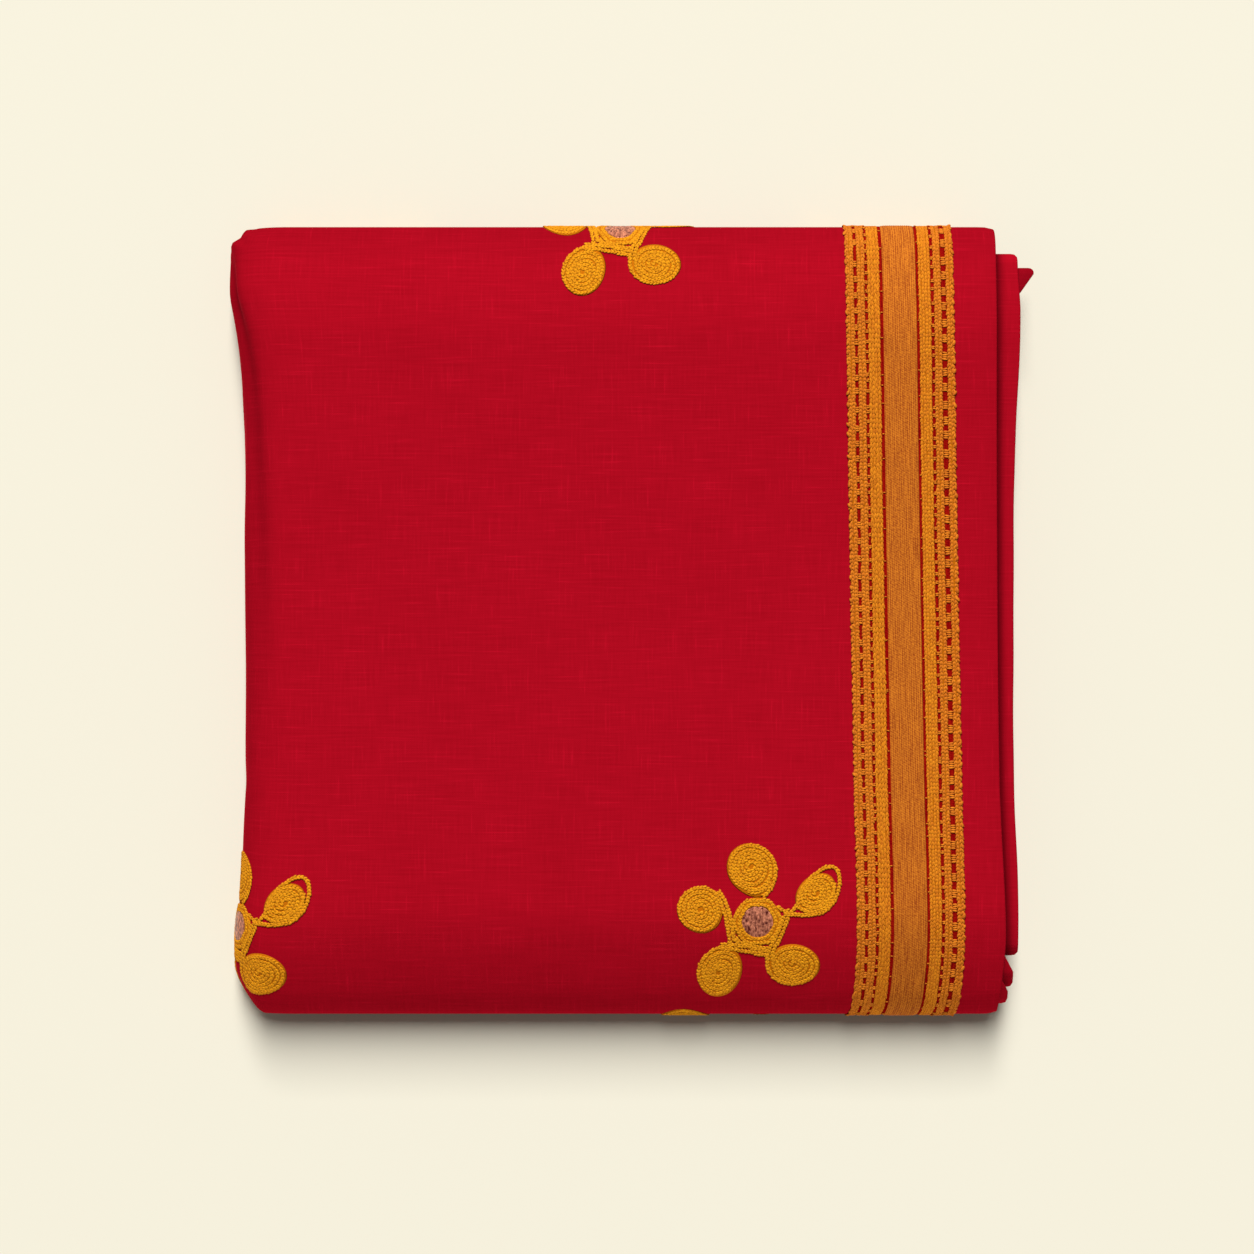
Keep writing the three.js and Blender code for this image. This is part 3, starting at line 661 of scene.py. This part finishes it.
satin_at = np.linspace(SATIN_LEFT, SATIN_RIGHT, 61)
satin_share = (satin_at - satin_at.mean()) / (np.ptp(satin_at) / 2)
satin_rise = (SATIN_RISE - GROUND_RISE) * (1 - satin_share**8) + RIB_RISE * np.cos(2 * pi * satin_at / RIB)
satin = band("border_satin", satin_at, GROUND_RISE + np.maximum(satin_rise, SATIN_RIM), ON_GROUND)
satin.data.materials.append(SATIN)


# Chain stitches in gold thread, each of two plump lobes that lean together. They make the border's cords and
# stripes, the bars across its red lines, and the flowers. One lobe has few faces, because thousands are laid.
LOBE_STATIONS = ((-0.5, 0), (-0.3, 0.78), (0.02, 1), (0.32, 0.74), (0.5, 0))
LOBE_SIDES = 6
random = np.random.default_rng(41)  # every unevenness of the stitches is drawn from it, in the same order


def lobe_shape():
    """A lobe of length, width and height 1 about its middle: its points and its triangles."""
    points = [(LOBE_STATIONS[0][0], 0, 0)]
    for at, size in LOBE_STATIONS[1:-1]:
        for side in range(LOBE_SIDES):
            turn = 2 * pi * (side + 0.5) / LOBE_SIDES
            points.append((at, 0.5 * size * cos(turn), 0.5 * size * sin(turn)))
    points.append((LOBE_STATIONS[-1][0], 0, 0))
    last = len(points) - 1
    last_ring = last - LOBE_SIDES
    faces = []
    for side in range(LOBE_SIDES):
        beside = (side + 1) % LOBE_SIDES
        faces.append((0, 1 + beside, 1 + side))
        for low in range(1, last_ring, LOBE_SIDES):
            high = low + LOBE_SIDES
            faces += [(low + side, low + beside, high + beside), (low + side, high + beside, high + side)]
        faces.append((last_ring + side, last_ring + beside, last))
    return np.array(points), np.array(faces)


LOBE_POINTS, LOBE_FACES = lobe_shape()


def spaced(path, pitch):
    """Places a pitch apart on a path of points, and the heading at each."""
    path = np.asarray(path, float)
    steps = np.linalg.norm(np.diff(path, axis=0), axis=1)
    length = np.append(0, np.cumsum(steps))
    at = np.arange(pitch / 2, length[-1], pitch)

    def place_at(distance):
        return np.stack([np.interp(distance, length, path[:, k]) for k in (0, 1)], axis=1)

    run = place_at(at + pitch / 3) - place_at(at - pitch / 3)
    return place_at(at), np.arctan2(run[:, 1], run[:, 0])


def chain(path, width, pitch, height, base, plump, lean):
    """The lobes of a chain stitched along a path: rows of x, y, heading, length, width, height and base."""
    places, heading = spaced(path, pitch)
    lobes = []
    for side in (1, -1):
        sway = random.normal(0, 0.07 * width, len(places))
        off = side * width * (1 - plump) / 2 + sway
        x = places[:, 0] - np.sin(heading) * off
        y = places[:, 1] + np.cos(heading) * off
        turned = heading - side * radians(lean) * random.uniform(0.75, 1.25, len(places))
        lobes.append(np.stack([x, y, turned, pitch * random.uniform(1.3, 1.6, len(places)),
                               width * plump * random.uniform(0.92, 1.12, len(places)),
                               height * random.uniform(0.88, 1.1, len(places)),
                               np.full(len(places), base)], axis=1))
    return np.concatenate(lobes)


def stitched(name, lobes, put):
    """One piece from rows of lobes, each laid where put(x, y, lift) says."""
    x, y, heading, length, width, height, base = lobes.T[:, :, None]
    shape_x, shape_y, shape_z = LOBE_POINTS.T[:, None, :]
    run, side = shape_x * length, shape_y * width
    point_x = x + run * np.cos(heading) - side * np.sin(heading)
    point_y = y + run * np.sin(heading) + side * np.cos(heading)
    points = put(point_x, point_y, base + height * (0.5 + shape_z))
    first = np.arange(len(lobes))[:, None, None] * len(LOBE_POINTS)
    faces = (LOBE_FACES[None] + first).reshape(-1, 3)
    uv = np.stack(np.broadcast_arrays(run, side), axis=-1)
    tone = np.repeat(random.uniform(0, 1, len(lobes)), len(LOBE_POINTS))
    return mesh_piece(name, points, faces, uv, outward=False, tone=tone)


def gold_thread(name, dark, bright):
    """Soft twisted gold thread: each stitch has its own tone, with fine fibres along it."""
    material, shade = new_material(name)
    own_tone = shade.node("ShaderNodeAttribute", {"attribute_name": "tone"}, output=2)
    along_stitch = shade.node("ShaderNodeUVMap", {"uv_map": "cloth"})
    solid_place = shade.node("ShaderNodeTexCoord", {}, output=3)
    fibre = along_stitch.scaled(500, 5200).noise(detail=2)
    fuzz = solid_place.noise(scale=2300, detail=2)
    tone = 0.5 + (own_tone - 0.5) * 0.4 + (fibre - 0.5) * 1.2 + (fuzz - 0.5) * 0.9
    height = 0.5 + (fibre - 0.5) + (fuzz - 0.5) * 0.6
    finish_with(shade, tone.mix(dark, bright), 0.5 + (fuzz - 0.5) * 0.3, height, 0.12, GOLD_SHINE)
    return material


CORD_GOLD = gold_thread("cord_gold_thread", paint(150, 70, 22), paint(202, 118, 30))
STRIPE_GOLD = gold_thread("stripe_gold_thread", paint(156, 76, 20), paint(204, 126, 26))

# Padding of darker gold thread under each pair of cords and each stripe: from, to and rise.
PADDING = [(-20.3, -17.5, 0.5), (-16.2, -13.4, 0.46), (-12.2, -7.8, 0.33), (7.3, 11.7, 0.38),
           (13.0, 15.7, 0.46), (17.8, 20.4, 0.5)]
# The border's rows: at, width, pitch and height. A cord is two fine rows close together.
CORDS = [(-19.7, 1.65, 1.45, 0.58), (-18.15, 1.6, 1.35, 0.52),
         (-15.55, 1.6, 1.35, 0.52), (-14.0, 1.6, 1.4, 0.5),
         (13.6, 1.5, 1.4, 0.5), (15.1, 1.5, 1.35, 0.52),
         (18.35, 1.5, 1.4, 0.5), (19.8, 1.55, 1.6, 0.58)]
STRIPES = [(-11.65, 1.35, 1.9, 0.26), (-10.5, 1.35, 1.8, 0.26), (-9.35, 1.35, 1.9, 0.26),
           (-8.25, 1.2, 1.8, 0.26), (7.75, 1.2, 1.45, 0.3), (8.9, 1.3, 1.5, 0.3),
           (10.05, 1.3, 1.4, 0.3), (11.2, 1.25, 1.5, 0.3)]
# How far a row wanders, how deep it lies in the ground, and how wide its lobes are and how much they lean.
CORD_WANDER, CORD_SUNK, CORD_PLUMP, CORD_LEAN = 0.07, 0.12, 0.66, 20
STRIPE_WANDER, STRIPE_SUNK, STRIPE_PLUMP, STRIPE_LEAN = 0.05, 0.06, 0.74, 14
KNOTS_AT, KNOT_STEP, KNOT_SIZE = 20.0, 3.9, 1.5  # knots along the two outer cords, which scallop their edges
# Bars of thread across the red lines: at, how long across, how many threads, their width, the bars' pitch
# and how uneven that is.
BARS = [(-16.9, 1.7, 3, 0.95, 6.3, 0.8), (-12.75, 1.3, 2, 0.8, 3.9, 0.6), (16.75, 2.2, 4, 0.95, 6.2, 0.45),
        (12.45, 1.4, 2, 0.8, 4.3, 0.8), (-7.1, 1.0, 1, 0.6, 9.0, 3.0), (6.95, 0.9, 1, 0.6, 10.0, 3.0)]
BAR_HEIGHT, BAR_OVERLAP = 0.5, 0.85


def border_row(at, wander):
    """The path of one row of the border, which wanders a little."""
    along = np.arange(-WRAP_END + 0.8, WRAP_END - 0.8, 1.2)
    phase = random.uniform(0, 6)
    off = wander * (np.sin(along / 9 + phase) + 0.6 * np.sin(along / 3.7 + 2 * phase))
    return np.stack([at + off, along], axis=1)


def border_bars():
    """The bars' lobes, one for each thread."""
    lobes = []
    for at, long, threads, width, pitch, uneven in BARS:
        for middle in np.arange(-WRAP_END + pitch / 2, WRAP_END - 2, pitch):
            middle = middle + random.normal(0, uneven)
            for thread in range(threads):
                beside = (thread - (threads - 1) / 2) * width * BAR_OVERLAP
                lobes.append((at + random.normal(0, 0.08), middle + beside, random.normal(0, 0.12),
                              long * random.uniform(0.95, 1.15), width,
                              BAR_HEIGHT * random.uniform(0.9, 1.15), GROUND_RISE))
    return np.array(lobes)


def knots(side):
    """Plump knots along the outer edge of an outer cord, on the left (-1) or the right (1)."""
    along = np.arange(-WRAP_END + 1.5, WRAP_END - 1.5, KNOT_STEP)
    along = along + random.normal(0, 0.35, len(along))
    size = KNOT_SIZE * random.uniform(0.8, 1.15, len(along))
    heading = pi / 2 + random.normal(0, 0.35, len(along))
    at = side * (KNOTS_AT + random.uniform(0.1, 0.35, len(along)))
    return np.stack([at, along, heading, size * 1.5, size * 0.85, 0.5 * size,
                     np.full(len(along), GROUND_RISE)], axis=1)


def border_rows(rows, wander, sunk, plump, lean):
    return [chain(border_row(at, wander), width, pitch, height, GROUND_RISE - sunk, plump, lean)
            for at, width, pitch, height in rows]


cords = border_rows(CORDS, CORD_WANDER, CORD_SUNK, CORD_PLUMP, CORD_LEAN)
cords += [border_bars(), knots(-1), knots(1)]
border_cords = stitched("border_cords", np.concatenate(cords), on_border)
stripes = border_rows(STRIPES, STRIPE_WANDER, STRIPE_SUNK, STRIPE_PLUMP, STRIPE_LEAN)
border_stripes = stitched("border_stripes", np.concatenate(stripes), on_border)
for piece, gold in ((border_cords, CORD_GOLD), (border_stripes, STRIPE_GOLD)):
    piece.data.materials.append(gold)
    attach(piece, "root")

BACKING = gold_thread("backing_thread", paint(140, 70, 6), paint(180, 102, 8))
paddings = []
for count, (left, right, rise) in enumerate(PADDING, start=1):
    padding = band(f"border_padding_{count}", np.array([left, left + 0.4, right - 0.4, right]),
                   np.array([GROUND_RISE + 0.04, rise, rise, GROUND_RISE + 0.04]), ON_GROUND)
    padding.data.materials.append(BACKING)
    paddings.append(padding)


# The flowers: gold cord coiled into four round petals and a leaf round a mirror. Each petal's cord leaves its
# coil as a tail that runs on round the mirror's ring. They are couched on a backing of darker thread. Places
# are measured from the middle of the flower, in millimetres.
CORD_WIDTH, CORD_PITCH, CORD_HEIGHT, CORD_BASE, FLOWER_LEAN = 1.66, 1.3, 0.44, 0.14, 24
FIRST_STEP, ROW_STEP = 1.8, 1.56  # from a coil's outermost turn to the next, and between its inner turns
BACKING_HEIGHT, BACKING_BASE = 0.33, 0.02
BACKING_SHARE = 0.93  # how far out a petal's backing reaches
NECK, NECK_FROM = 0.81, 0.2  # where a short row fills a petal's neck, and how pointed the petal then is
PETALS = {
    # name: middle, half its length and half its width, how its length lies in degrees, where the cord joins
    # the coil, how pointed it is there and how far that spreads, and the tail from the coil to the ring
    "top": ((-2.4, 20.6), 9.9, 10.4, 90, -70, 0.34, 0.6, []),
    "left": ((-21.8, 4.5), 9.6, 9.5, 90, 40, 0.0, 1,
             [(-15.7, 11.4), (-13.3, 7.8), (-11.4, 2.4), (-10.4, -2.8), (-9.6, -8.2)]),
    "lower_left": ((-14.2, -19.6), 10.7, 9.2, 62, 66, 0.04, 0.5,
                   [(-14.0, -9.8), (-10.2, -9.7), (-4.0, -10.7), (1.0, -11.7), (4.6, -12.3)]),
    "lower_right": ((13.9, -16.8), 10.6, 8.9, -4, 162, 0.06, 0.5,
                    [(4.6, -15.0), (5.6, -10.3), (7.8, -6.1), (9.5, -1.9), (11.0, 2.4)]),
    "leaf": ((22.4, 10.9), 9.3, 7.2, 43, 214, 0.08, 0.6, []),
}
LEAF_OUTLINE = [(10.0, 2.8), (13.6, 2.7), (19.4, 2.7), (24.8, 3.7), (28.9, 7.6), (30.9, 12.8), (31.1, 17.4),
                (29.7, 20.5), (26.6, 21.0), (22.8, 19.0), (18.8, 15.2), (16.2, 11.2), (15.2, 7.0),
                (13.2, 4.3), (10.4, 4.2), (7.2, 6.2)]
LEAF_INNER = [(29.3, 14.9), (28.8, 11.2), (26.7, 8.0), (23.2, 5.7), (18.9, 4.5)]
RING_CORNERS = [[(-9.6, -1.6), (-9.3, -5.4), (-7.6, -7.9), (-4.2, -9.1), (0.6, -9.9), (4.4, -10.4)],
                [(-8.3, -6.2), (-6.4, -8.1)]]  # rows that fill the ring's corners, up to the tails
RING_ROWS = [(6.75, 0.6), (8.5, 0.9)]  # radius, and how far its sides are flattened
RING_BACKING = [(5.9, 0.02), (5.9, 0.4), (7.8, 0.45), (9.3, 0.3), (9.3, 0.02)]  # its section: radius and rise


def bent(points, cells=10):
    """A smooth path through a few points."""
    points = np.asarray(points, float)
    if len(points) < 3:
        return points
    padded = np.vstack([2 * points[0] - points[1], points, 2 * points[-1] - points[-2]])
    t = np.linspace(0, 1, cells, endpoint=False)[:, None]
    parts = []
    for a, b, c, d in zip(padded, padded[1:], padded[2:], padded[3:]):
        parts.append(0.5 * (2 * b + (c - a) * t + (2 * a - 5 * b + 4 * c - d) * t**2
                            + (3 * b - a - 3 * c + d) * t**3))
    return np.vstack([*parts, points[-1:]])


def petal_point(petal, turn, share):
    """A point of a petal, at an angle and a share of the way out. It is drawn to a point at its joint."""
    (x, y), long, wide, lies, joins, pointed, spread, _ = petal
    off = (turn - radians(joins) + pi) % (2 * pi) - pi
    uneven = 1 + 0.022 * np.sin(2 * turn + x) + 0.014 * np.sin(3 * turn + y)
    reach = share * uneven * (1 + pointed * share**3 * np.exp(-((off / spread) ** 2)))
    axis = radians(lies)
    u, v = long * reach * np.cos(turn - axis), wide * reach * np.sin(turn - axis)
    return np.stack([x + u * cos(axis) - v * sin(axis), y + u * sin(axis) + v * cos(axis)], axis=-1)


def coil(petal):
    """The path of a petal's cord, round and round from its joint to the middle."""
    (x, _), long, wide, _, joins, _, _, _ = petal
    size = (long + wide) / 2
    turns = np.linspace(0, (size - CORD_WIDTH - FIRST_STEP) / ROW_STEP + 1, 360)
    inset = CORD_WIDTH / 2 + FIRST_STEP * np.minimum(turns, 1) + ROW_STEP * np.maximum(turns - 1, 0)
    inset = inset + 0.22 * np.sin(7.3 * turns + x) * ease(0.6, 1.6, turns)
    return petal_point(petal, radians(joins) + 2 * pi * turns, 1 - inset / size)


def alongside(path, off):
    """A path that runs along another one, off to its left."""
    run = np.gradient(path, axis=0)
    run /= np.linalg.norm(run, axis=1)[:, None]
    return path + off * np.stack([-run[:, 1], run[:, 0]], axis=1)


def ring_path(radius, flattened):
    """The path of a row round the mirror, a soft hexagon."""
    turn = np.linspace(0.3, 0.3 + 2 * pi, 90)
    reach = radius * (1 + 0.05 * np.cos(6 * turn) * flattened)
    return np.stack([reach * np.cos(turn), reach * np.sin(turn)], axis=1)


def flower_lobes():
    """Every stitch of one flower, laid flat."""
    row = dict(width=CORD_WIDTH, pitch=CORD_PITCH, height=CORD_HEIGHT, base=CORD_BASE, plump=CORD_PLUMP,
               lean=FLOWER_LEAN)
    lobes = [chain(coil(petal), **row) for petal in PETALS.values()]
    for petal in PETALS.values():
        _, _, _, _, joins, pointed, _, tail = petal
        if tail:
            lobes += [chain(alongside(bent(tail), off), **row) for off in (-CORD_WIDTH / 2, CORD_WIDTH / 2)]
        if pointed > NECK_FROM:
            across_neck = radians(joins) + np.linspace(-0.5, 0.5, 12)
            lobes.append(chain(petal_point(petal, across_neck, NECK), **row))
    lobes += [chain(bent(path), **row) for path in (LEAF_OUTLINE, LEAF_INNER, *RING_CORNERS)]
    lobes += [chain(ring_path(*ring), **row) for ring in RING_ROWS]
    return np.concatenate(lobes)


def disc_faces(rings, count):
    """Faces over rings of points, from the rim inwards, closed over the last two: the top and the bottom."""
    faces = grid_faces(rings, count, columns_joined=True).tolist()
    inner, top, bottom = (rings - 1) * count, rings * count, rings * count + 1
    for i in range(count):
        beside = (i + 1) % count
        faces += [[inner + i, inner + beside, top], [beside, i, bottom]]
    return faces


def cushion(outline, middle):
    """A low cushion of backing thread inside an outline: its flat points with their rise, and its faces."""
    middle = np.asarray(middle, float)
    shares, rises = (1, 0.95, 0.8, 0.55, 0.28), (0.02, 0.8, 1, 1, 1)
    level = np.full(len(outline), BACKING_HEIGHT)
    rings = [np.column_stack([middle + (outline - middle) * share, level * rise])
             for share, rise in zip(shares, rises)]
    points = np.vstack([*rings, [[*middle, BACKING_HEIGHT]], [[*middle, BACKING_BASE]]])
    return points, disc_faces(len(rings), len(outline))


def flower_backing():
    """The backing of one flower, laid flat: a cushion under each petal and a ring round the mirror."""
    turns = np.linspace(0, 2 * pi, 44, endpoint=False)
    parts = [cushion(petal_point(petal, turns, BACKING_SHARE), petal[0]) for petal in PETALS.values()]
    ring = np.array([(r * cos(turn), r * sin(turn), rise) for turn in turns for r, rise in RING_BACKING])
    parts.append((ring, grid_faces(len(turns), len(RING_BACKING), rows_joined=True, columns_joined=True)))
    points, faces, count = [], [], 0
    for new_points, new_faces in parts:
        points.append(new_points)
        faces += [[int(i) + count for i in face] for face in new_faces]
        count += len(new_points)
    return np.vstack(points), faces


FLOWER_GOLD = gold_thread("flower_gold_thread", paint(162, 94, 16), paint(208, 140, 22))
FLAT_LOBES = flower_lobes()
FLAT_BACKING, BACKING_FACES = flower_backing()


def flower_lift(across, along, lift):
    """A flower's height off the cloth, lower and sunk into it where the packet rests on the flower."""
    flush = grounded(across, along)
    return lift * (1 - flush * (1 - FLUSH_HEIGHT)) - PRESSED * flush


def unpulled(across, along):
    """A place on the cloth that keeps its shape where the near corner of the spine is drawn in."""
    return across, along - drawn_in(book(across, 0)[0], roll(along)[0])


def flower(name):
    """A flower's stitches and its backing, kept only where they lie on the outside of the packet."""
    across, along, size, nodes = FLOWERS[name]

    def is_outside(x, y):
        clear_of_table = (across < UNDER_ACROSS) | (across + x * size > SPINE_CLEAR)
        return (np.abs(along + y * size) < WRAP_END) & clear_of_table

    def put(x, y, lift):
        place_across, place_along = unpulled(across + x * size, along + y * size)
        return on_cloth(place_across, place_along, flower_lift(place_across, place_along, lift))

    kept = FLAT_LOBES[is_outside(FLAT_LOBES[:, 0], FLAT_LOBES[:, 1])]
    stitches = stitched(name + "_cord", kept, put)
    stitches.data.materials.append(FLOWER_GOLD)
    x, y, rise = FLAT_BACKING.T
    outside = is_outside(x, y)
    faces = [face for face in BACKING_FACES if outside[face].all()]
    used = np.unique([i for face in faces for i in face])
    renumbered = {old: new for new, old in enumerate(used)}
    faces = [[renumbered[i] for i in face] for face in faces]
    backing = mesh_piece(name + "_backing", put(x, y, rise)[used], np.array(faces, dtype=object),
                         FLAT_BACKING[used, :2], tone=np.full(len(used), 0.5))
    backing.data.materials.append(BACKING)
    for piece in (stitches, backing):
        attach(piece, "root")
    if nodes:
        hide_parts(*nodes)
    return [stitches, backing]


trim = [ground, satin, border_cords, border_stripes, *paddings]
for flower_name in FLOWERS:
    trim += flower(flower_name)


# The mirrors: a dull hammered disc held under the ring of each flower whose middle is outside. Its colour is
# painted reflection, dark red and pale pink strokes and spots whose pale ones are painted glints; its
# metalness adds a little real reflection.
MIRROR_R, MIRROR_RISE, MIRROR_BASE = 6.2, 0.34, 0.04
MIRROR_CROWN, HAMMERED = 0.1, 0.07  # how far its face stands above its rim, and how uneven it is
SHOWN_MIRRORS = ("flower_top", "flower_far_edge", "flower_spine")  # those that the CAD has too
HIDDEN_MIRRORS = ("flower_under_left", "flower_under_right", "flower_under_middle")


def mirror_glass():
    """Glass whose colour is painted reflection: strokes and spots, the pale ones painted glints; the strokes
    also make its bump.
    """
    material, shade = new_material("dull_mirror")
    solid_place = shade.node("ShaderNodeTexCoord", {}, output=3)
    strokes = solid_place.scaled(1500, 620, 900).noise(detail=3)
    spots = solid_place.noise(scale=900, detail=3)
    # The pale patches of this colour are painted glints.
    tone = 0.5 + (strokes - 0.5) * 2.6 + (spots - 0.5) * 1.4
    colour = tone.mix(paint(78, 10, 8), paint(214, 132, 100))
    finish_with(shade, colour, 0.34 + (spots - 0.5) * 0.4, strokes, 0.35, {"Metallic": 0.45})
    return material


GLASS = mirror_glass()


def mirror(name):
    """The mirror of one flower: a rim, rings of its face, and the middles of its face and its back."""
    across, along, size, _ = FLOWERS[name]
    turns = np.linspace(0, 2 * pi, 48, endpoint=False)
    share = np.array([1, *np.linspace(1, 0.08, 12)])[:, None]
    x, y = MIRROR_R * share * np.cos(turns), MIRROR_R * share * np.sin(turns)
    hammered = HAMMERED * np.sin(2.6 * x + 1.1 * y) * np.sin(1.9 * y - 0.7 * x + 1)
    rise = MIRROR_RISE + (MIRROR_CROWN + hammered) * (share < 1)
    rise[0] = MIRROR_BASE
    x, y = np.append(x, [0, 0]), np.append(y, [0, 0])
    rise = np.append(rise, [MIRROR_RISE + MIRROR_CROWN, MIRROR_BASE])
    place_across, place_along = unpulled(across + x * size, along + y * size)
    points = on_cloth(place_across, place_along, flower_lift(place_across, place_along, rise))
    faces = disc_faces(len(share), len(turns))
    piece = mesh_piece(name + "_glass", points, np.array(faces, dtype=object))
    piece.data.materials.append(GLASS)
    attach(piece, "root")
    if name in SHOWN_MIRRORS:
        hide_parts(name + "_mirror")
    return piece


trim += [mirror(name) for name in (*SHOWN_MIRRORS, *HIDDEN_MIRRORS)]

# What the outermost stretch measures opened out, across and along.
STRETCH_ACROSS, STRETCH_ALONG = 2 * (PANEL_WIDTH + HEM_DEEP), 2 * (ROLLED + LIP)
STRETCH_ACROSS * MM
STRETCH_ALONG * MM


# The floor, the light and the camera. The floor is plain cream paper. A long narrow soft box hangs over the
# far side, so that only the near side shades the floor. Two more lamps, a raking one from the far side and a
# fill from below the near side, light the packet alone and give it shape.
FLOOR_SIZE, FLOOR_DROP = 6000, 0.2  # the floor lies just clear of the underside
PHOTO_PIXELS = 1254
PIXEL = 0.38  # millimetres of the packet's top that a pixel of the photograph shows
LENS, SENSOR = 100, 36
VIEW_MIDDLE = (-1.14, -2.28)  # what the middle of the picture shows
VIEW_FROM = 2 * STACK + PHOTO_PIXELS * PIXEL * LENS / SENSOR

bpy.ops.object.select_all(action="DESELECT")
bpy.ops.mesh.primitive_plane_add(size=FLOOR_SIZE * MM, location=(0, 0, -FLOOR_DROP * MM))
floor = bpy.context.object
floor.name = "floor"
floor_material, floor_shade = new_material("cream_paper")
floor_surface = floor_shade.node("ShaderNodeBsdfDiffuse", {}, {"Color": paint(241, 236, 217)})
floor_shade.node("ShaderNodeOutputMaterial", {}, {"Surface": floor_surface})
floor.data.materials.append(floor_material)


def lamp(name, kind, elevation, turned=0, distance=1.0, **settings):
    """A light that looks at the packet from an elevation over the far side, turned towards the spine."""
    light = bpy.data.lights.new(name, kind)
    for setting, value in settings.items():
        setattr(light, setting, value)
    made = bpy.data.objects.new(name, light)
    up, turn = radians(elevation), radians(turned)
    reach = distance * cos(up)
    made.location = (-reach * sin(turn), reach * cos(turn), distance * sin(up))
    made.rotation_euler = (up - pi / 2, 0, turn)
    bpy.context.scene.collection.objects.link(made)
    return made


lamp("soft_box", "AREA", elevation=55.8, distance=24.0, shape="RECTANGLE", size=5.0, size_y=18.4,
     energy=7080.0)
low_lamps = [lamp("raking_lamp", "SUN", elevation=42, turned=14, angle=radians(24), energy=3.2),
             lamp("fill_lamp", "SUN", elevation=-20, turned=180, angle=radians(30), energy=3.3)]
packet = bpy.data.collections.new("under_the_low_lamps")
for piece in [outer, packed, second, *trim]:
    packet.objects.link(piece)
for low_lamp in low_lamps:
    low_lamp.light_linking.receiver_collection = packet
    low_lamp.light_linking.blocker_collection = packet
    low_lamp.data.cycles.max_bounces = 0
    low_lamp.visible_glossy = False

world = bpy.data.worlds.new("studio")
world.use_nodes = True
world.node_tree.nodes.clear()
air = Shade(world.node_tree)
lighting = air.node("ShaderNodeBackground", {}, {"Color": (1.0, 0.98, 0.94, 1.0), "Strength": 0.13})
seen = air.node("ShaderNodeBackground", {}, {"Color": paint(247, 242, 223), "Strength": 1.0})
looked_at = air.node("ShaderNodeLightPath")
mixed = air.node("ShaderNodeMixShader", {}, {0: looked_at, 1: lighting, 2: seen})
air.node("ShaderNodeOutputWorld", {}, {"Surface": mixed})
scene = bpy.context.scene
scene.world = world
scene.view_settings.view_transform = "Standard"

camera = bpy.data.objects.new("camera", bpy.data.cameras.new("camera"))
camera.data.lens, camera.data.sensor_width = LENS, SENSOR
camera.location = (VIEW_MIDDLE[0] * MM, VIEW_MIDDLE[1] * MM, VIEW_FROM * MM)
scene.collection.objects.link(camera)
scene.camera = camera
